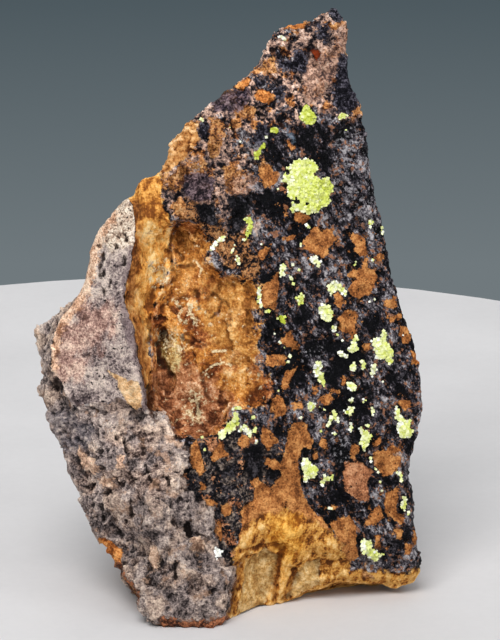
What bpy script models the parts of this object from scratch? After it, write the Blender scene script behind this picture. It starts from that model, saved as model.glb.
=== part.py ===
"""Autunite specimen: one block of host rock with thin crusts of autunite crystals on its front face.

The front face is drawn in its own frame, in millimetres: u to the right, w up along the face and
t into the stone. The face leans back by LEAN, and its outlines are given as they look from
VIEW_DISTANCE, square to the face. The world is in metres with +Z up and the origin at the middle
of the bounding box, on the floor.
"""

import math
import random

import bmesh
import bpy
import numpy as np
from mathutils import Vector, noise
from mathutils.bvhtree import BVHTree
from mathutils.geometry import delaunay_2d_cdt

# Driving dimensions, in millimetres unless a name says otherwise.
METRE = 1000.0
LEAN = math.radians(16.0)
VIEW_DISTANCE = 500.0
VIEW_CENTRE = (2.5, 38.75)
BASE_DEPTH = 37.0
BACK_LEAN = 0.03
FLOOR_CUT = -0.1
ORIGIN = (-0.09, 18.18)

# Fineness of the solid.
FACE_SPACING = 0.62
EDGE_SPACING = 0.8
VOXEL = 0.42
ROCK_TRIANGLES = 7200

# How far back the rings of the sides lie, as a share of the thickness.
SIDE_RINGS = (0.03, 0.07, 0.12, 0.2, 0.32, 0.46, 0.6, 0.75, 0.9, 1.0)

# Crusts of crystals.
CRUST_GAP = 0.3
CRUST_THICKNESS = 0.45
TABLET_THICKNESS = 0.32
TABLET_SIDES = (0.8, 1.5)
TABLET_TILT = math.radians(9.0)
SHEET_SPACING = 1.3

# The outline of the front face, clockwise from the tip.
OUTLINE = [
    (12.9, 78), (13.5, 77.9), (13.9, 77.4), (14.1, 76.5), (14.6, 75.8), (14.9, 74.8), (14.9, 74),
    (14.6, 72.9), (14.5, 72.5), (14.6, 71.2), (14.8, 70.4), (15, 69.2), (14.9, 68.4), (15.1, 67.8),
    (15.5, 67.1), (16, 66.4), (16.2, 65.5), (16.5, 64.8), (16.5, 63.4), (16.8, 62.8), (17, 62),
    (17.1, 60.4), (17.4, 58.8), (17.6, 56.8), (18, 55), (18.2, 53.4), (18.9, 51.6), (19.2, 50.1),
    (19.4, 48.5), (19.8, 46.8), (20.1, 45), (20.5, 43.4), (21, 41.8), (21.2, 40.4), (21.8, 38.8),
    (22.5, 37.2), (23.1, 35.4), (23.5, 33.8), (23.8, 31.9), (23.9, 30), (24.2, 28), (24, 27.1),
    (23.5, 25.8), (23.1, 24.1), (23, 22.5), (22.4, 21.4), (22, 20), (22.4, 18.5), (22.9, 17),
    (23, 15.6), (23, 13.5), (23.4, 11.5), (23.4, 10), (23.9, 8.5), (23.8, 7), (23.1, 5.8),
    (21.9, 5.8), (20.8, 5.2), (20, 5.2), (18.8, 5.9), (16.9, 5.8), (15, 5.9), (13.8, 6.1),
    (12.5, 5.8), (11.2, 5.2), (9.5, 4.9), (8, 4.1), (7.4, 3.8), (6.9, 3.1), (5.4, 2.4), (4.5, 1.5),
    (4.1, 1.2), (2.5, 1.1), (0.8, 0.9), (0, 0.8), (-0.5, 0.4), (-1.9, 0.2), (-4.4, 0.1), (-5.4, 0),
    (-6.5, 0.2), (-8.1, 0.8), (-9.8, 1.1), (-10.8, 1.8), (-11.4, 2.8), (-11.6, 4.1), (-12.2, 5.2),
    (-13, 6.6), (-14, 7.9), (-15.1, 9.2), (-15.9, 10.6), (-16.6, 11.6), (-17.4, 12.5),
    (-18.2, 13.8), (-18.9, 15.2), (-18.8, 16.9), (-18.8, 17.5), (-19.4, 18.5), (-20, 19.6),
    (-20.4, 20.6), (-20.9, 22.5), (-21.5, 23.8), (-22.5, 25), (-22.9, 26.2), (-22.8, 28.1),
    (-23.4, 29.1), (-23.8, 30), (-23.2, 31.5), (-23.8, 32.6), (-24.1, 35), (-24.2, 36.5),
    (-24.5, 37.5), (-23.5, 38), (-22.9, 38.4), (-22.2, 39.4), (-21.4, 40.1), (-21.2, 40.6),
    (-19.4, 41.1), (-18.8, 42.4), (-18.1, 43.6), (-17.6, 46), (-17.6, 47.4), (-17.1, 48.6),
    (-16.2, 50.5), (-15.4, 51.4), (-14.6, 52.2), (-13.9, 53.2), (-12.9, 54), (-12.1, 54.2),
    (-11.6, 55.8), (-10.5, 56.5), (-8.8, 57), (-8.1, 58), (-7.8, 60), (-7.9, 60.5), (-6.9, 61.6),
    (-6.2, 62.6), (-5, 64), (-3.8, 64.8), (-2.9, 65.5), (-1.6, 66.6), (-0.6, 67.4), (0.2, 67.9),
    (1.6, 69), (2.8, 69.9), (3.9, 70.8), (4.1, 71.9), (4.4, 73.1), (5, 74.1), (5.6, 74.9),
    (6.4, 75.5), (7.9, 75.9), (9.5, 76.2), (10.1, 76.2), (11, 77), (11.4, 77.4), (12.4, 77.8),
]

# The smaller, blunter outline of the back, counted the same way round.
BACK_OUTLINE = [
    (12.6, 75.8), (14.0, 66.0), (15.6, 52.0), (18.6, 39.0), (21.2, 27.0), (19.8, 14.0),
    (20.5, 2.0), (8.0, -2.0), (-7.0, -3.0), (-12.5, 6.0), (-15.5, 16.0), (-19.5, 26.0),
    (-20.0, 34.0), (-14.0, 45.0), (-9.0, 53.0), (-4.5, 60.0), (2.0, 67.0), (7.5, 73.6),
]

# The proud grey plate on the left, which ends in a blunt tip at its lower right.
LEDGE = [
    (-12.8, 54), (-12.2, 53.1), (-11.9, 51.2), (-11.8, 48.8), (-12.2, 47.1), (-12.5, 45),
    (-13, 43.1), (-13.2, 41.2), (-12.8, 39.4), (-12, 37.5), (-11.6, 35), (-11.2, 32.5),
    (-10.5, 30.2), (-10, 28.2), (-10.5, 27.4), (-11.9, 27.4), (-12.9, 28.4), (-14, 29.1),
    (-15.2, 28.4), (-16.9, 28.6), (-19.4, 27.8), (-20.8, 30), (-21.9, 31.2), (-22.4, 32.8),
    (-22.4, 34.4), (-22, 36.9), (-21.2, 38.8), (-20.2, 40.1), (-19.1, 41.6), (-20, 43.8),
    (-18.8, 48.8), (-16.9, 52.5), (-14.4, 55),
]

# The ochre wall that falls from the plate into the hollow beside it.
WALL = [
    (-12.8, 54), (-12.2, 53.1), (-11.9, 51.2), (-11.8, 48.8), (-12.2, 47.1), (-12.5, 45),
    (-13, 43.1), (-13.2, 41.2), (-12.8, 39.4), (-12, 37.5), (-11.6, 35), (-11.2, 32.5),
    (-10.4, 30), (-10, 28.1), (-10, 31.2), (-10.1, 33.1), (-10, 35), (-10, 38.8), (-9.4, 41.2),
    (-8.8, 42.5), (-7.2, 46), (-7.6, 48.1), (-7.5, 50.6), (-7.9, 51.5), (-8.6, 53.8), (-8.4, 56.5),
    (-8.8, 57), (-10, 58.1), (-13.1, 56.2),
]

# The red-brown hollow in the middle.
HOLLOW = [
    (-10, 28.1), (-10, 31.2), (-10.1, 33.1), (-10, 35), (-10, 38.8), (-9.4, 41.2), (-8.8, 42.5),
    (-7.2, 46), (-7.6, 48.1), (-7.5, 50.6), (-5.6, 51), (-3.8, 50.6), (-2.5, 48.8), (-3.1, 46),
    (-1, 44.4), (2.5, 43.8), (3.4, 43.1), (3.4, 40), (3.4, 36.2), (3.5, 33.5), (4.8, 31.2),
    (5, 29.4), (3.1, 27.8), (0.4, 28.1), (-0.2, 25.6), (-2.8, 24.1), (-6.9, 24.2), (-7.8, 26.2),
]

# The rough grey mass at the lower left.
ROUGH = [
    (-10, 27.8), (-7.8, 26.6), (-6.9, 24.1), (-5, 22.8), (-5.2, 20.6), (-6.2, 19.4), (-4.4, 16.9),
    (-2.1, 15), (-1.9, 11.9), (-1.5, 9.4), (0.2, 8), (0.8, 6.9), (0.1, 3.8), (-1, 0.2),
    (-3.1, -1.2), (-13.8, -1.2), (-21.2, 13.8), (-25, 26.2), (-25, 30.6), (-21.9, 31.2),
    (-20.8, 30), (-19.4, 27.8), (-16.9, 28.6), (-15.2, 28.4), (-14, 29.1), (-12.9, 28.4),
    (-11.9, 27.4), (-10.5, 27.4),
]

# The dark lump at the far left, set back behind the plate's rim.
SIDE_LUMP = [
    (-26, 38.1), (-22.5, 41.8), (-19.1, 41.6), (-20.2, 40.1), (-21.2, 38.8), (-22, 36.9),
    (-22.4, 34.4), (-22.4, 32.8), (-21.9, 31.2), (-22.5, 30.0), (-26, 29.4),
]

# Hollows and swellings: centre u and w, radius along and across, turn in degrees, depth.
# A swelling has a negative depth.
FORMS = [
    (-8.6, 35.2, 1.1, 3.0, -12, 1.5),
    (-8.4, 31.0, 1.0, 2.2, 12, 0.9),
    (-6.2, 48.6, 1.2, 2.2, 8, 0.7),
    (-4.9, 46.9, 1.8, 0.7, 0, 0.5),
    (-0.5, 37.0, 4.0, 5.5, 0, -0.8),
    (-3.2, 26.4, 2.4, 1.5, 0, 0.5),
    (2.6, 52.4, 1.4, 2.2, 0, 0.6),
    (4.2, 8.0, 2.2, 4.6, -22, 1.3),
    (8.2, 7.0, 1.3, 3.6, 18, 0.9),
    (11.0, 7.4, 1.9, 2.2, 0, 0.8),
    (7.0, 11.8, 1.6, 2.4, 10, -0.7),
    (2.4, 4.4, 0.9, 2.6, -14, -0.5),
    (16.0, 8.4, 4.6, 1.2, 0, 0.5),
    (9.8, 38.6, 1.6, 3.0, -24, -0.5),
    (2.4, 51.4, 0.7, 2.8, 12, -0.5),
    (14.2, 52.4, 2.2, 5.0, 10, 0.7),
    (18.2, 30.0, 2.0, 4.2, 6, -0.5),
    (14.6, 17.2, 2.2, 3.6, 0, -0.5),
    (10.2, 17.0, 1.6, 3.4, 14, 0.6),
    (4.4, 18.6, 2.6, 3.0, 0, 0.6),
    (5.2, 65.2, 2.2, 1.6, -30, 0.6),
    (9.8, 72.2, 1.5, 1.8, 0, 0.5),
    (-15.0, 20.6, 2.6, 2.2, 20, -0.8),
    (-9.2, 14.4, 2.2, 3.2, 12, -0.9),
    (-7.0, 7.2, 2.4, 3.4, 0, -0.7),
    (-18.8, 25.4, 1.8, 1.6, 0, -0.7),
    (-12.0, 8.8, 1.7, 2.0, 0, 0.7),
    (-11.8, 24.6, 2.4, 1.2, 0, 0.6),
    (-3.6, 9.6, 1.0, 2.4, 0, 0.7),
    (-16.6, 47.6, 1.0, 2.8, -18, 0.5),
    (-20.2, 34.8, 1.0, 2.6, -8, -0.4),
]

# Open pits of the rough parts: centre u and w, half width and half height.
PITS = [
    (-21.6, 30.5, 0.8, 0.7), (-16.1, 28.1, 1.0, 0.5), (-23.0, 30.2, 0.5, 0.5),
    (-22.0, 26.9, 0.5, 0.8), (-21.0, 24.5, 0.5, 0.5), (-15.2, 17.1, 0.7, 0.5),
    (-12.8, 22.8, 0.5, 0.7), (-14.5, 13.1, 0.5, 0.5), (-11.8, 12.2, 0.5, 0.8),
    (-5.2, 12.5, 0.5, 0.8), (-7.9, 9.4, 0.5, 0.8), (-7.0, 7.5, 0.6, 0.9),
    (-18.1, 17.8, 1.0, 0.5), (-10.0, 20.0, 0.5, 0.7),
]
PIT_DEPTH = 1.1

# Cracks and step lines: a path, its half width and its depth.
CRACKS = [
    ([(-10.2, 38.6), (-10.0, 36.2)], 0.35, 0.9),
    ([(-6.5, 50.6), (-7.1, 49.4), (-7.5, 47.8), (-7.3, 45.2), (-4.2, 45.4)], 0.3, 0.6),
    ([(-4.2, 42.5), (-2.8, 40.1)], 0.3, 0.5),
    ([(-6.4, 36.8), (-5.0, 35.9), (-3.8, 35.4)], 0.3, 0.5),
    ([(-3.6, 32.1), (-3.0, 29.4), (-2.2, 28.5), (-0.6, 28.4)], 0.3, 0.5),
    ([(6.5, 10.2), (6.2, 8.8), (5.5, 5.0), (5.8, 2.8)], 0.3, 0.6),
    ([(8.1, 7.5), (7.6, 4.9), (6.8, 3.8)], 0.3, 0.6),
    ([(7.4, 38.8), (8.4, 37.2), (8.8, 36.0), (9.1, 34.8), (10.1, 33.5)], 0.35, -0.6),
]

# Flat breaks that dress the sides and the back: a point on each and the way it faces, as u, w and t.
BREAKS = [
    ((-24.0, 36.0, 12.0), (-0.62, 0.10, 0.78)),
    ((-18.5, 14.0, 12.0), (-0.75, -0.35, 0.56)),
    ((-8.0, 58.5, 10.5), (-0.50, 0.45, 0.74)),
    ((23.5, 25.0, 17.0), (0.93, 0.00, 0.36)),
    ((17.5, 56.0, 18.5), (0.85, 0.28, 0.45)),
    ((2.0, 30.0, 28.2), (0.10, 0.15, 0.98)),
    ((18.0, 26.0, 24.0), (0.60, 0.00, 0.80)),
    ((-10.0, 12.0, 28.0), (-0.45, -0.10, 0.88)),
    ((6.0, 58.0, 19.5), (-0.10, 0.25, 0.96)),
]

# Outlines of the crystal crusts on the face.
CRUSTS = {
    "autunite_rosette": [
        (8.1, 59), (8.8, 58.8), (9.5, 59), (10.1, 58.8), (10.9, 58.4), (10.9, 57.5), (11, 56.8),
        (11.4, 56.4), (11.9, 56.8), (12.4, 56.5), (12.9, 55.6), (12.9, 54.9), (12.4, 54.4),
        (12.6, 53.8), (12.2, 53), (11.5, 52.9), (11.2, 52.4), (10.5, 52.2), (10, 51.9),
        (9.1, 52.2), (8.2, 52.4), (7.7, 51.8), (7.5, 52.6), (7.7, 53.5), (7.1, 54.2), (7.2, 54.9),
        (7.1, 55.8), (6.5, 56.1), (6.6, 56.9), (6.8, 57.6), (7.4, 58.1), (7.9, 58.5),
    ],
    "autunite_tip": [(5.8, 74.4), (6.8, 74.3), (7.4, 73.5), (6.4, 73.7)],
    "autunite_upper_1": [
        (9.5, 65.8), (10.1, 65.2), (10.8, 64.5), (10.8, 64), (10.5, 63.1), (9.9, 63),
        (8.9, 63.6), (8.5, 63.9), (8.9, 64.9),
    ],
    "autunite_upper_2": [(13.2, 64.1), (13.9, 64.8), (14.8, 64.4), (14.1, 63.8), (13.4, 63.8)],
    "autunite_upper_3": [(5, 62.9), (5.8, 63), (6.1, 62.1), (4.9, 62.1)],
    "autunite_upper_4": [
        (4.4, 61.5), (4, 60.6), (3.5, 60), (2.9, 59.5), (3.1, 58.8), (3.6, 58.5), (3.9, 59.8),
        (4.6, 60.8),
    ],
    "autunite_upper_5": [
        (2.2, 52), (1.6, 51.1), (2.1, 50.7), (2.1, 49.9), (1.6, 48.8), (2.1, 48.3), (2.5, 49.4),
        (2.9, 50.1), (2.9, 51.1),
    ],
    "autunite_left_1": [
        (-0.6, 49.5), (-0.3, 49.1), (-1.1, 48.5), (-2, 47.7), (-2.4, 47.1), (-2.8, 47.2),
        (-2, 48.5),
    ],
    "autunite_left_2": [(0.9, 47.1), (1.3, 46.5), (1.4, 45.9), (1, 45.6), (0.6, 46.1)],
    "autunite_left_3": [(3.6, 43.6), (4, 41.9), (4, 39.8), (3.4, 41.2), (3.3, 42.1)],
    "autunite_left_4": [(5.4, 39.2), (7.1, 39.4), (6.8, 38.1), (5.9, 38.8)],
    "autunite_left_5": [
        (1.1, 27.2), (0.5, 27.1), (0.2, 26.3), (-0.5, 25.4), (-1.8, 24.3), (-1.1, 23.8),
        (-0.5, 24.1), (-0.1, 24.6), (0.6, 24.9), (1.1, 25.8), (1.2, 26.5),
    ],
    "autunite_left_6": [
        (0.9, 25), (1.4, 25.6), (2.1, 25.7), (2.5, 25.1), (2.8, 24.5), (2.5, 23.8), (2.1, 24.7),
        (1.6, 25), (1.3, 24.5),
    ],
    "autunite_left_7": [(2.5, 26.8), (3.2, 27.1), (2.9, 26.3), (2.2, 25.8)],
    "autunite_middle_1": [
        (10.5, 46.9), (9.9, 46.4), (10.2, 45.8), (10.8, 45.8), (11, 45.3), (11.5, 45.7),
        (11.4, 46), (11, 46.6),
    ],
    "autunite_middle_2": [
        (6.2, 45.5), (6.8, 45.8), (7.1, 45.4), (6.8, 44.2), (6.2, 44.1), (6.1, 44.9),
    ],
    "autunite_middle_3": [
        (13, 43.9), (12.3, 43.2), (12.1, 42.4), (12.6, 41.8), (13.1, 42.2), (13.8, 42.2),
        (14.5, 41.5), (14.6, 42.3), (14.2, 42.9), (13.4, 43.7),
    ],
    "autunite_middle_4": [
        (11.7, 41), (11.1, 40.5), (10.9, 39.8), (11.4, 39), (11.9, 38.5), (12.5, 38.5),
        (12.8, 39.1), (13, 39.9), (12.6, 40.5),
    ],
    "autunite_middle_5": [
        (8.1, 41.5), (8.7, 42.1), (9.2, 42), (9.3, 41.2), (9, 40.6), (8.5, 40.4), (8.3, 41),
    ],
    "autunite_middle_6": [
        (12.9, 38.2), (13.3, 37.9), (13.2, 37.4), (13.7, 36.6), (12.9, 37.1), (12.6, 37.6),
    ],
    "autunite_middle_7": [
        (16, 37.5), (16.1, 36.2), (15.6, 35.8), (16.4, 35), (15, 34.6), (14.6, 35.1),
        (15.2, 36), (15.6, 36.8),
    ],
    "autunite_middle_8": [(13.2, 34.5), (13.8, 35), (15, 34.1), (14.6, 33.8), (13.9, 34.2)],
    "autunite_middle_9": [
        (10.8, 33.6), (10.4, 32.7), (10.5, 32), (11, 31.4), (11.3, 30.7), (11.8, 30.2),
        (12, 31.2), (11.7, 32), (11.3, 32.3), (11.5, 33), (11.3, 33.5),
    ],
    "autunite_middle_10": [
        (14.6, 31.2), (14.5, 30.4), (15.3, 29.7), (15.8, 30.1), (15.9, 30.7),
    ],
    "autunite_middle_11": [
        (9.5, 28.4), (10.1, 28.5), (11, 28.2), (10.7, 27.8), (10.2, 27.2), (9.7, 27.6),
    ],
    "autunite_middle_12": [
        (14.2, 27.4), (15.1, 28.1), (15.5, 27.9), (15.4, 27.3), (15.2, 26.7), (14.7, 26.9),
    ],
    "autunite_middle_13": [
        (12.9, 28), (13.2, 27), (13.7, 26.3), (13.6, 25.8), (13, 26.4), (12.3, 25.2),
        (11.9, 25.3), (12.3, 26.4), (12.7, 27),
    ],
    "autunite_middle_14": [(14.8, 28.9), (15.1, 29.2), (15.6, 29), (15.5, 28.5), (15.1, 28.2)],
    "autunite_right_1": [
        (19, 37.5), (18.8, 36.6), (17.5, 36.3), (17.8, 35.5), (18.1, 34.8), (18.1, 34.1),
        (18.6, 33.8), (19.3, 33.7), (20, 33), (20.5, 33.6), (20.3, 34.1), (20.5, 34.8), (20, 35.6),
        (19.6, 36), (19.8, 36.9), (19.3, 37.4),
    ],
    "autunite_right_2": [
        (18.2, 33.4), (17.6, 33.3), (17.8, 32.8), (17.5, 32.1), (17.8, 31.5), (18.3, 32.4),
    ],
    "autunite_right_3": [(16.2, 33.6), (16.8, 33.8), (17, 33), (16.8, 32.2), (16.4, 32.8)],
    "autunite_right_4": [
        (15.9, 25.4), (16.4, 25.5), (17.1, 25), (17.7, 24.4), (17.7, 23.8), (17.2, 23),
        (16.9, 22.2), (16.6, 22.3), (16.4, 22.9), (16, 23.5), (16.4, 23.9), (16.3, 24.5),
    ],
    "autunite_right_5": [
        (20.7, 28.2), (20.5, 27.4), (20.6, 26.5), (21, 26), (20.8, 25.5), (21, 24.2),
        (21.5, 23.9), (22.6, 24.1), (23, 24.8), (22.6, 25.3), (22.8, 26.2), (21.9, 26.3),
        (21.5, 26.8), (21.3, 27.5),
    ],
    "autunite_right_6": [
        (20.5, 19.6), (20.9, 20), (21.4, 19.7), (21.7, 18.7), (21.4, 18.4), (21.1, 19.2),
    ],
    "autunite_right_7": [
        (21.6, 16.8), (21.5, 16), (21.3, 15.4), (21.8, 14.7), (22.2, 15.7), (22, 16.7),
    ],
    "autunite_lower_1": [
        (9.2, 21.6), (9.8, 21.5), (10.2, 20.8), (11.1, 20.3), (11.1, 19.9), (10.6, 19.1),
        (9.9, 18.8), (9.4, 18.4), (9.1, 19.2), (8.8, 20.6),
    ],
    "autunite_lower_2": [
        (11.8, 19.7), (11.6, 19.1), (11.2, 18.7), (11.4, 18.1), (11.7, 18), (12, 18.5),
        (12.5, 18.6), (13, 18.9), (13, 19.4), (12.2, 19.2),
    ],
    "autunite_lower_3": [
        (16.2, 11.4), (17.2, 11.4), (17.8, 11.1), (17.8, 10.4), (18.4, 9.8), (19.5, 9.5),
        (18.7, 9.1), (18.1, 8.4), (17.3, 9.1), (16.2, 10), (16.4, 10.8),
    ],
}

# Colours, linear.
ROCK_COLOUR = (0.16, 0.075, 0.035, 1.0)
CRYSTAL_COLOUR = (0.62, 0.70, 0.10, 1.0)


def clear_scene():
    for obj in list(bpy.data.objects):
        bpy.data.objects.remove(obj, do_unlink=True)


def material(name, colour, roughness):
    made = bpy.data.materials.new(name)
    made.use_nodes = True
    shader = made.node_tree.nodes["Principled BSDF"]
    shader.inputs["Base Color"].default_value = colour
    shader.inputs["Roughness"].default_value = roughness
    shader.inputs["Metallic"].default_value = 0.0
    return made


def to_world(points, depth):
    """World place, in millimetres, of points seen on the face and lying at a depth."""
    spread = 1.0 + depth / VIEW_DISTANCE
    u = VIEW_CENTRE[0] + (points[:, 0] - VIEW_CENTRE[0]) * spread
    w = VIEW_CENTRE[1] + (points[:, 1] - VIEW_CENTRE[1]) * spread
    x = u - ORIGIN[0]
    y = w * math.sin(LEAN) + depth * math.cos(LEAN) - ORIGIN[1]
    z = w * math.cos(LEAN) - depth * math.sin(LEAN) - FLOOR_CUT
    return np.column_stack((x, y, z))


def from_world(places):
    """Where on the face, as u and w, places of the world in millimetres are seen."""
    lifted = places + np.array((ORIGIN[0], ORIGIN[1], FLOOR_CUT))
    w = lifted[:, 1] * math.sin(LEAN) + lifted[:, 2] * math.cos(LEAN)
    depth = lifted[:, 1] * math.cos(LEAN) - lifted[:, 2] * math.sin(LEAN)
    real = np.column_stack((lifted[:, 0], w))
    middle = np.array(VIEW_CENTRE)
    return middle + (real - middle) / (1.0 + depth / VIEW_DISTANCE)[:, None]


def fade(value, start, end):
    """Smooth step from 0 at start to 1 at end."""
    s = np.clip((value - start) / (end - start), 0.0, 1.0)
    return s * s * (3.0 - 2.0 * s)


def distance_to_path(points, path):
    """Distance from each point to the nearest part of an open path."""
    path = np.array(path, float)
    best = np.full(len(points), np.inf)
    for a, b in zip(path[:-1], path[1:]):
        along = b - a
        share = np.clip((points - a) @ along / (along @ along), 0.0, 1.0)
        nearest = a + share[:, None] * along
        best = np.minimum(best, np.linalg.norm(points - nearest, axis=1))
    return best


def inset(points, outline):
    """How far each point lies inside a closed outline; outside it is negative."""
    ring = np.array(list(outline) + [outline[0]], float)
    inside = np.zeros(len(points), bool)
    for (x0, y0), (x1, y1) in zip(ring[:-1], ring[1:]):
        spans = (y0 > points[:, 1]) != (y1 > points[:, 1])
        rise = y1 - y0 if y1 != y0 else 1.0
        crossing = x0 + (points[:, 1] - y0) * (x1 - x0) / rise
        inside ^= spans & (points[:, 0] < crossing)
    distance = distance_to_path(points, ring)
    return np.where(inside, distance, -distance)


def lumpy(points, size, octaves, seed):
    """Fractal noise from about -1 to 1 over lumps of the given size."""
    return np.array([
        noise.fractal(Vector((u / size, w / size, seed)), 1.0, 2.1, octaves)
        for u, w in points
    ])


def facets(points, size, tilt, seed):
    """Small flat planes, each tilted its own way, as rock breaks."""
    out = np.empty(len(points))
    for i, (u, w) in enumerate(points):
        place = Vector((u / size, w / size, seed))
        seeds = noise.voronoi(place)[1]
        centre = Vector((seeds[0].x, seeds[0].y, seed))
        lean = noise.cell_vector(centre * 7.3) - Vector((0.5, 0.5, 0.5))
        off = (place - centre) * size
        out[i] = 2.0 * tilt * (lean.x * off.x + lean.y * off.y) + 0.5 * tilt * size * lean.z
    return out


def ledge_depth(u, w):
    return 0.4 + 0.36 * np.maximum(0.0, -11.5 - u) + 0.12 * np.maximum(0.0, w - 44.0)


def rough_depth(u, w, edge):
    rounding = 4.6 * (1.0 - fade(edge, 0.0, 7.0)) * fade(w, 3.0, 12.0)
    return 2.0 - 1.7 * (1.0 - fade(w, 2.0, 16.0)) + rounding


def face_plane(u, w):
    lean_right = 3.0 + (u + 3.0) * 0.222
    towards_tip = 0.13 * np.maximum(0.0, w - 55.0)
    return lean_right + towards_tip


def underside(u, w):
    """The lower right of the face turns under, towards the floor."""
    turn_line = 11.0 + 0.05 * (u - 10.0)
    return 0.5 * np.maximum(0.0, turn_line - w) * fade(u, -1.0, 5.0)


def add_forms(points, depth):
    for u, w, along, across, turn, deep in FORMS:
        angle = math.radians(turn)
        du = points[:, 0] - u
        dw = points[:, 1] - w
        a = (du * math.cos(angle) + dw * math.sin(angle)) / along
        b = (dw * math.cos(angle) - du * math.sin(angle)) / across
        depth = depth + deep * (1.0 - fade(np.hypot(a, b), 0.25, 1.35))
    for u, w, half_width, half_height in PITS:
        reach = np.hypot((points[:, 0] - u) / half_width, (points[:, 1] - w) / half_height)
        depth = depth + PIT_DEPTH * (1.0 - fade(reach, 0.3, 1.25))
    for path, half_width, deep in CRACKS:
        depth = depth + deep * (1.0 - fade(distance_to_path(points, path), 0.0, 1.6 * half_width))
    return depth


def relief(points):
    """Depth of the front face at each point; smaller is nearer the viewer."""
    u = points[:, 0]
    w = points[:, 1]
    edge = inset(points, OUTLINE)
    in_ledge = inset(points, LEDGE)
    in_hollow = inset(points, HOLLOW)
    in_rough = inset(points, ROUGH)

    depth = face_plane(u, w) + underside(u, w)
    depth += facets(points, 5.5, 0.13, 3.0) + facets(points, 2.2, 0.22, 11.0)
    depth += 0.25 * lumpy(points, 1.4, 3, 5.0)

    floor = 5.2 + 0.12 * (3.0 - u) + facets(points, 3.2, 0.2, 21.0)
    floor += 0.22 * lumpy(points, 1.2, 3, 25.0)
    into_hollow = fade(in_hollow, -0.6, 1.0)
    depth = depth + (floor - depth) * into_hollow

    plate = ledge_depth(u, w)
    from_ledge = np.maximum(0.0, -in_ledge)
    from_hollow = np.maximum(0.0, -in_hollow)
    across = from_ledge / (from_ledge + from_hollow + 1e-6)
    foot = floor + (face_plane(u, w) - floor) * fade(w, 47.5, 53.0)
    wall = plate + 0.5 + (foot - plate - 0.5) * across ** 0.85
    wall += 0.2 * lumpy(points * np.array((1.0, 0.35)), 1.3, 3, 31.0)
    depth = depth + (wall - depth) * fade(inset(points, WALL), -0.3, 0.3)

    grey = rough_depth(u, w, edge) + 0.75 * lumpy(points, 2.6, 4, 41.0)
    grey += facets(points, 2.8, 0.3, 45.0)
    depth = depth + (grey - depth) * fade(in_rough, -0.4, 0.5)

    lump = 7.6 + 0.6 * lumpy(points, 2.0, 3, 51.0)
    depth = depth + (lump - depth) * fade(inset(points, SIDE_LUMP), -0.3, 0.4)

    plate = plate + 0.16 * lumpy(points, 1.8, 4, 61.0) + facets(points, 6.0, 0.08, 65.0)
    depth = depth + (plate - depth) * fade(in_ledge, -0.15, 0.25)

    depth = add_forms(points, depth)
    return depth + 0.8 * (1.0 - fade(edge, 0.0, 1.1)) ** 2


def resample(outline, spacing):
    """Points at even steps round a closed outline, keeping its shape."""
    ring = [Vector(p) for p in outline]
    out = []
    for a, b in zip(ring, ring[1:] + ring[:1]):
        steps = max(1, round((b - a).length / spacing))
        out.extend(a.lerp(b, k / steps) for k in range(steps))
    return out


def lattice(outline, spacing, margin, seed):
    """A slightly shaken triangular lattice of points inside an outline."""
    ring = np.array(outline, float)
    low = ring.min(axis=0)
    high = ring.max(axis=0)
    shake = random.Random(seed)
    points = []
    row = 0
    w = low[1]
    while w < high[1]:
        u = low[0] + (spacing / 2 if row % 2 else 0.0)
        while u < high[0]:
            points.append((u + shake.uniform(-0.2, 0.2) * spacing,
                           w + shake.uniform(-0.2, 0.2) * spacing))
            u += spacing
        w += spacing * math.sqrt(3.0) / 2
        row += 1
    if not points:
        return []
    points = np.array(points)
    return [Vector(p) for p in points[inset(points, outline) > margin]]


def triangulate(outline, inner):
    """Triangles over a closed outline and the points inside it."""
    points = [Vector(p) for p in outline] + list(inner)
    ring = list(range(len(outline)))
    found = delaunay_2d_cdt(points, [], [ring], 1, 1e-5)
    flat = np.array([tuple(p) for p in found[0]])
    return flat, [tuple(face) for face in found[2]]


def back_depth(points):
    """Depth of the nearly upright back behind points seen on the face."""
    upright = BASE_DEPTH - BACK_LEAN * points[:, 1]
    return (upright - points[:, 1] * math.sin(LEAN)) / math.cos(LEAN)


def back_place(points):
    """Where the outline of the front runs to at the back: the same angle on the back's outline."""
    ring = np.array(BACK_OUTLINE + BACK_OUTLINE[:1], float)
    middle = np.array((2.0, 33.0))
    out = np.empty_like(points)
    for i, point in enumerate(points):
        ray = (point - middle) / np.linalg.norm(point - middle)
        best = None
        for a, b in zip(ring[:-1], ring[1:]):
            side = b - a
            cross = ray[0] * side[1] - ray[1] * side[0]
            if abs(cross) < 1e-9:
                continue
            reach = ((a[0] - middle[0]) * side[1] - (a[1] - middle[1]) * side[0]) / cross
            share = ((a[0] - middle[0]) * ray[1] - (a[1] - middle[1]) * ray[0]) / cross
            if reach > 0 and -1e-6 <= share <= 1 + 1e-6 and (best is None or reach > best):
                best = reach
        out[i] = middle + ray * best
    return out


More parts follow.
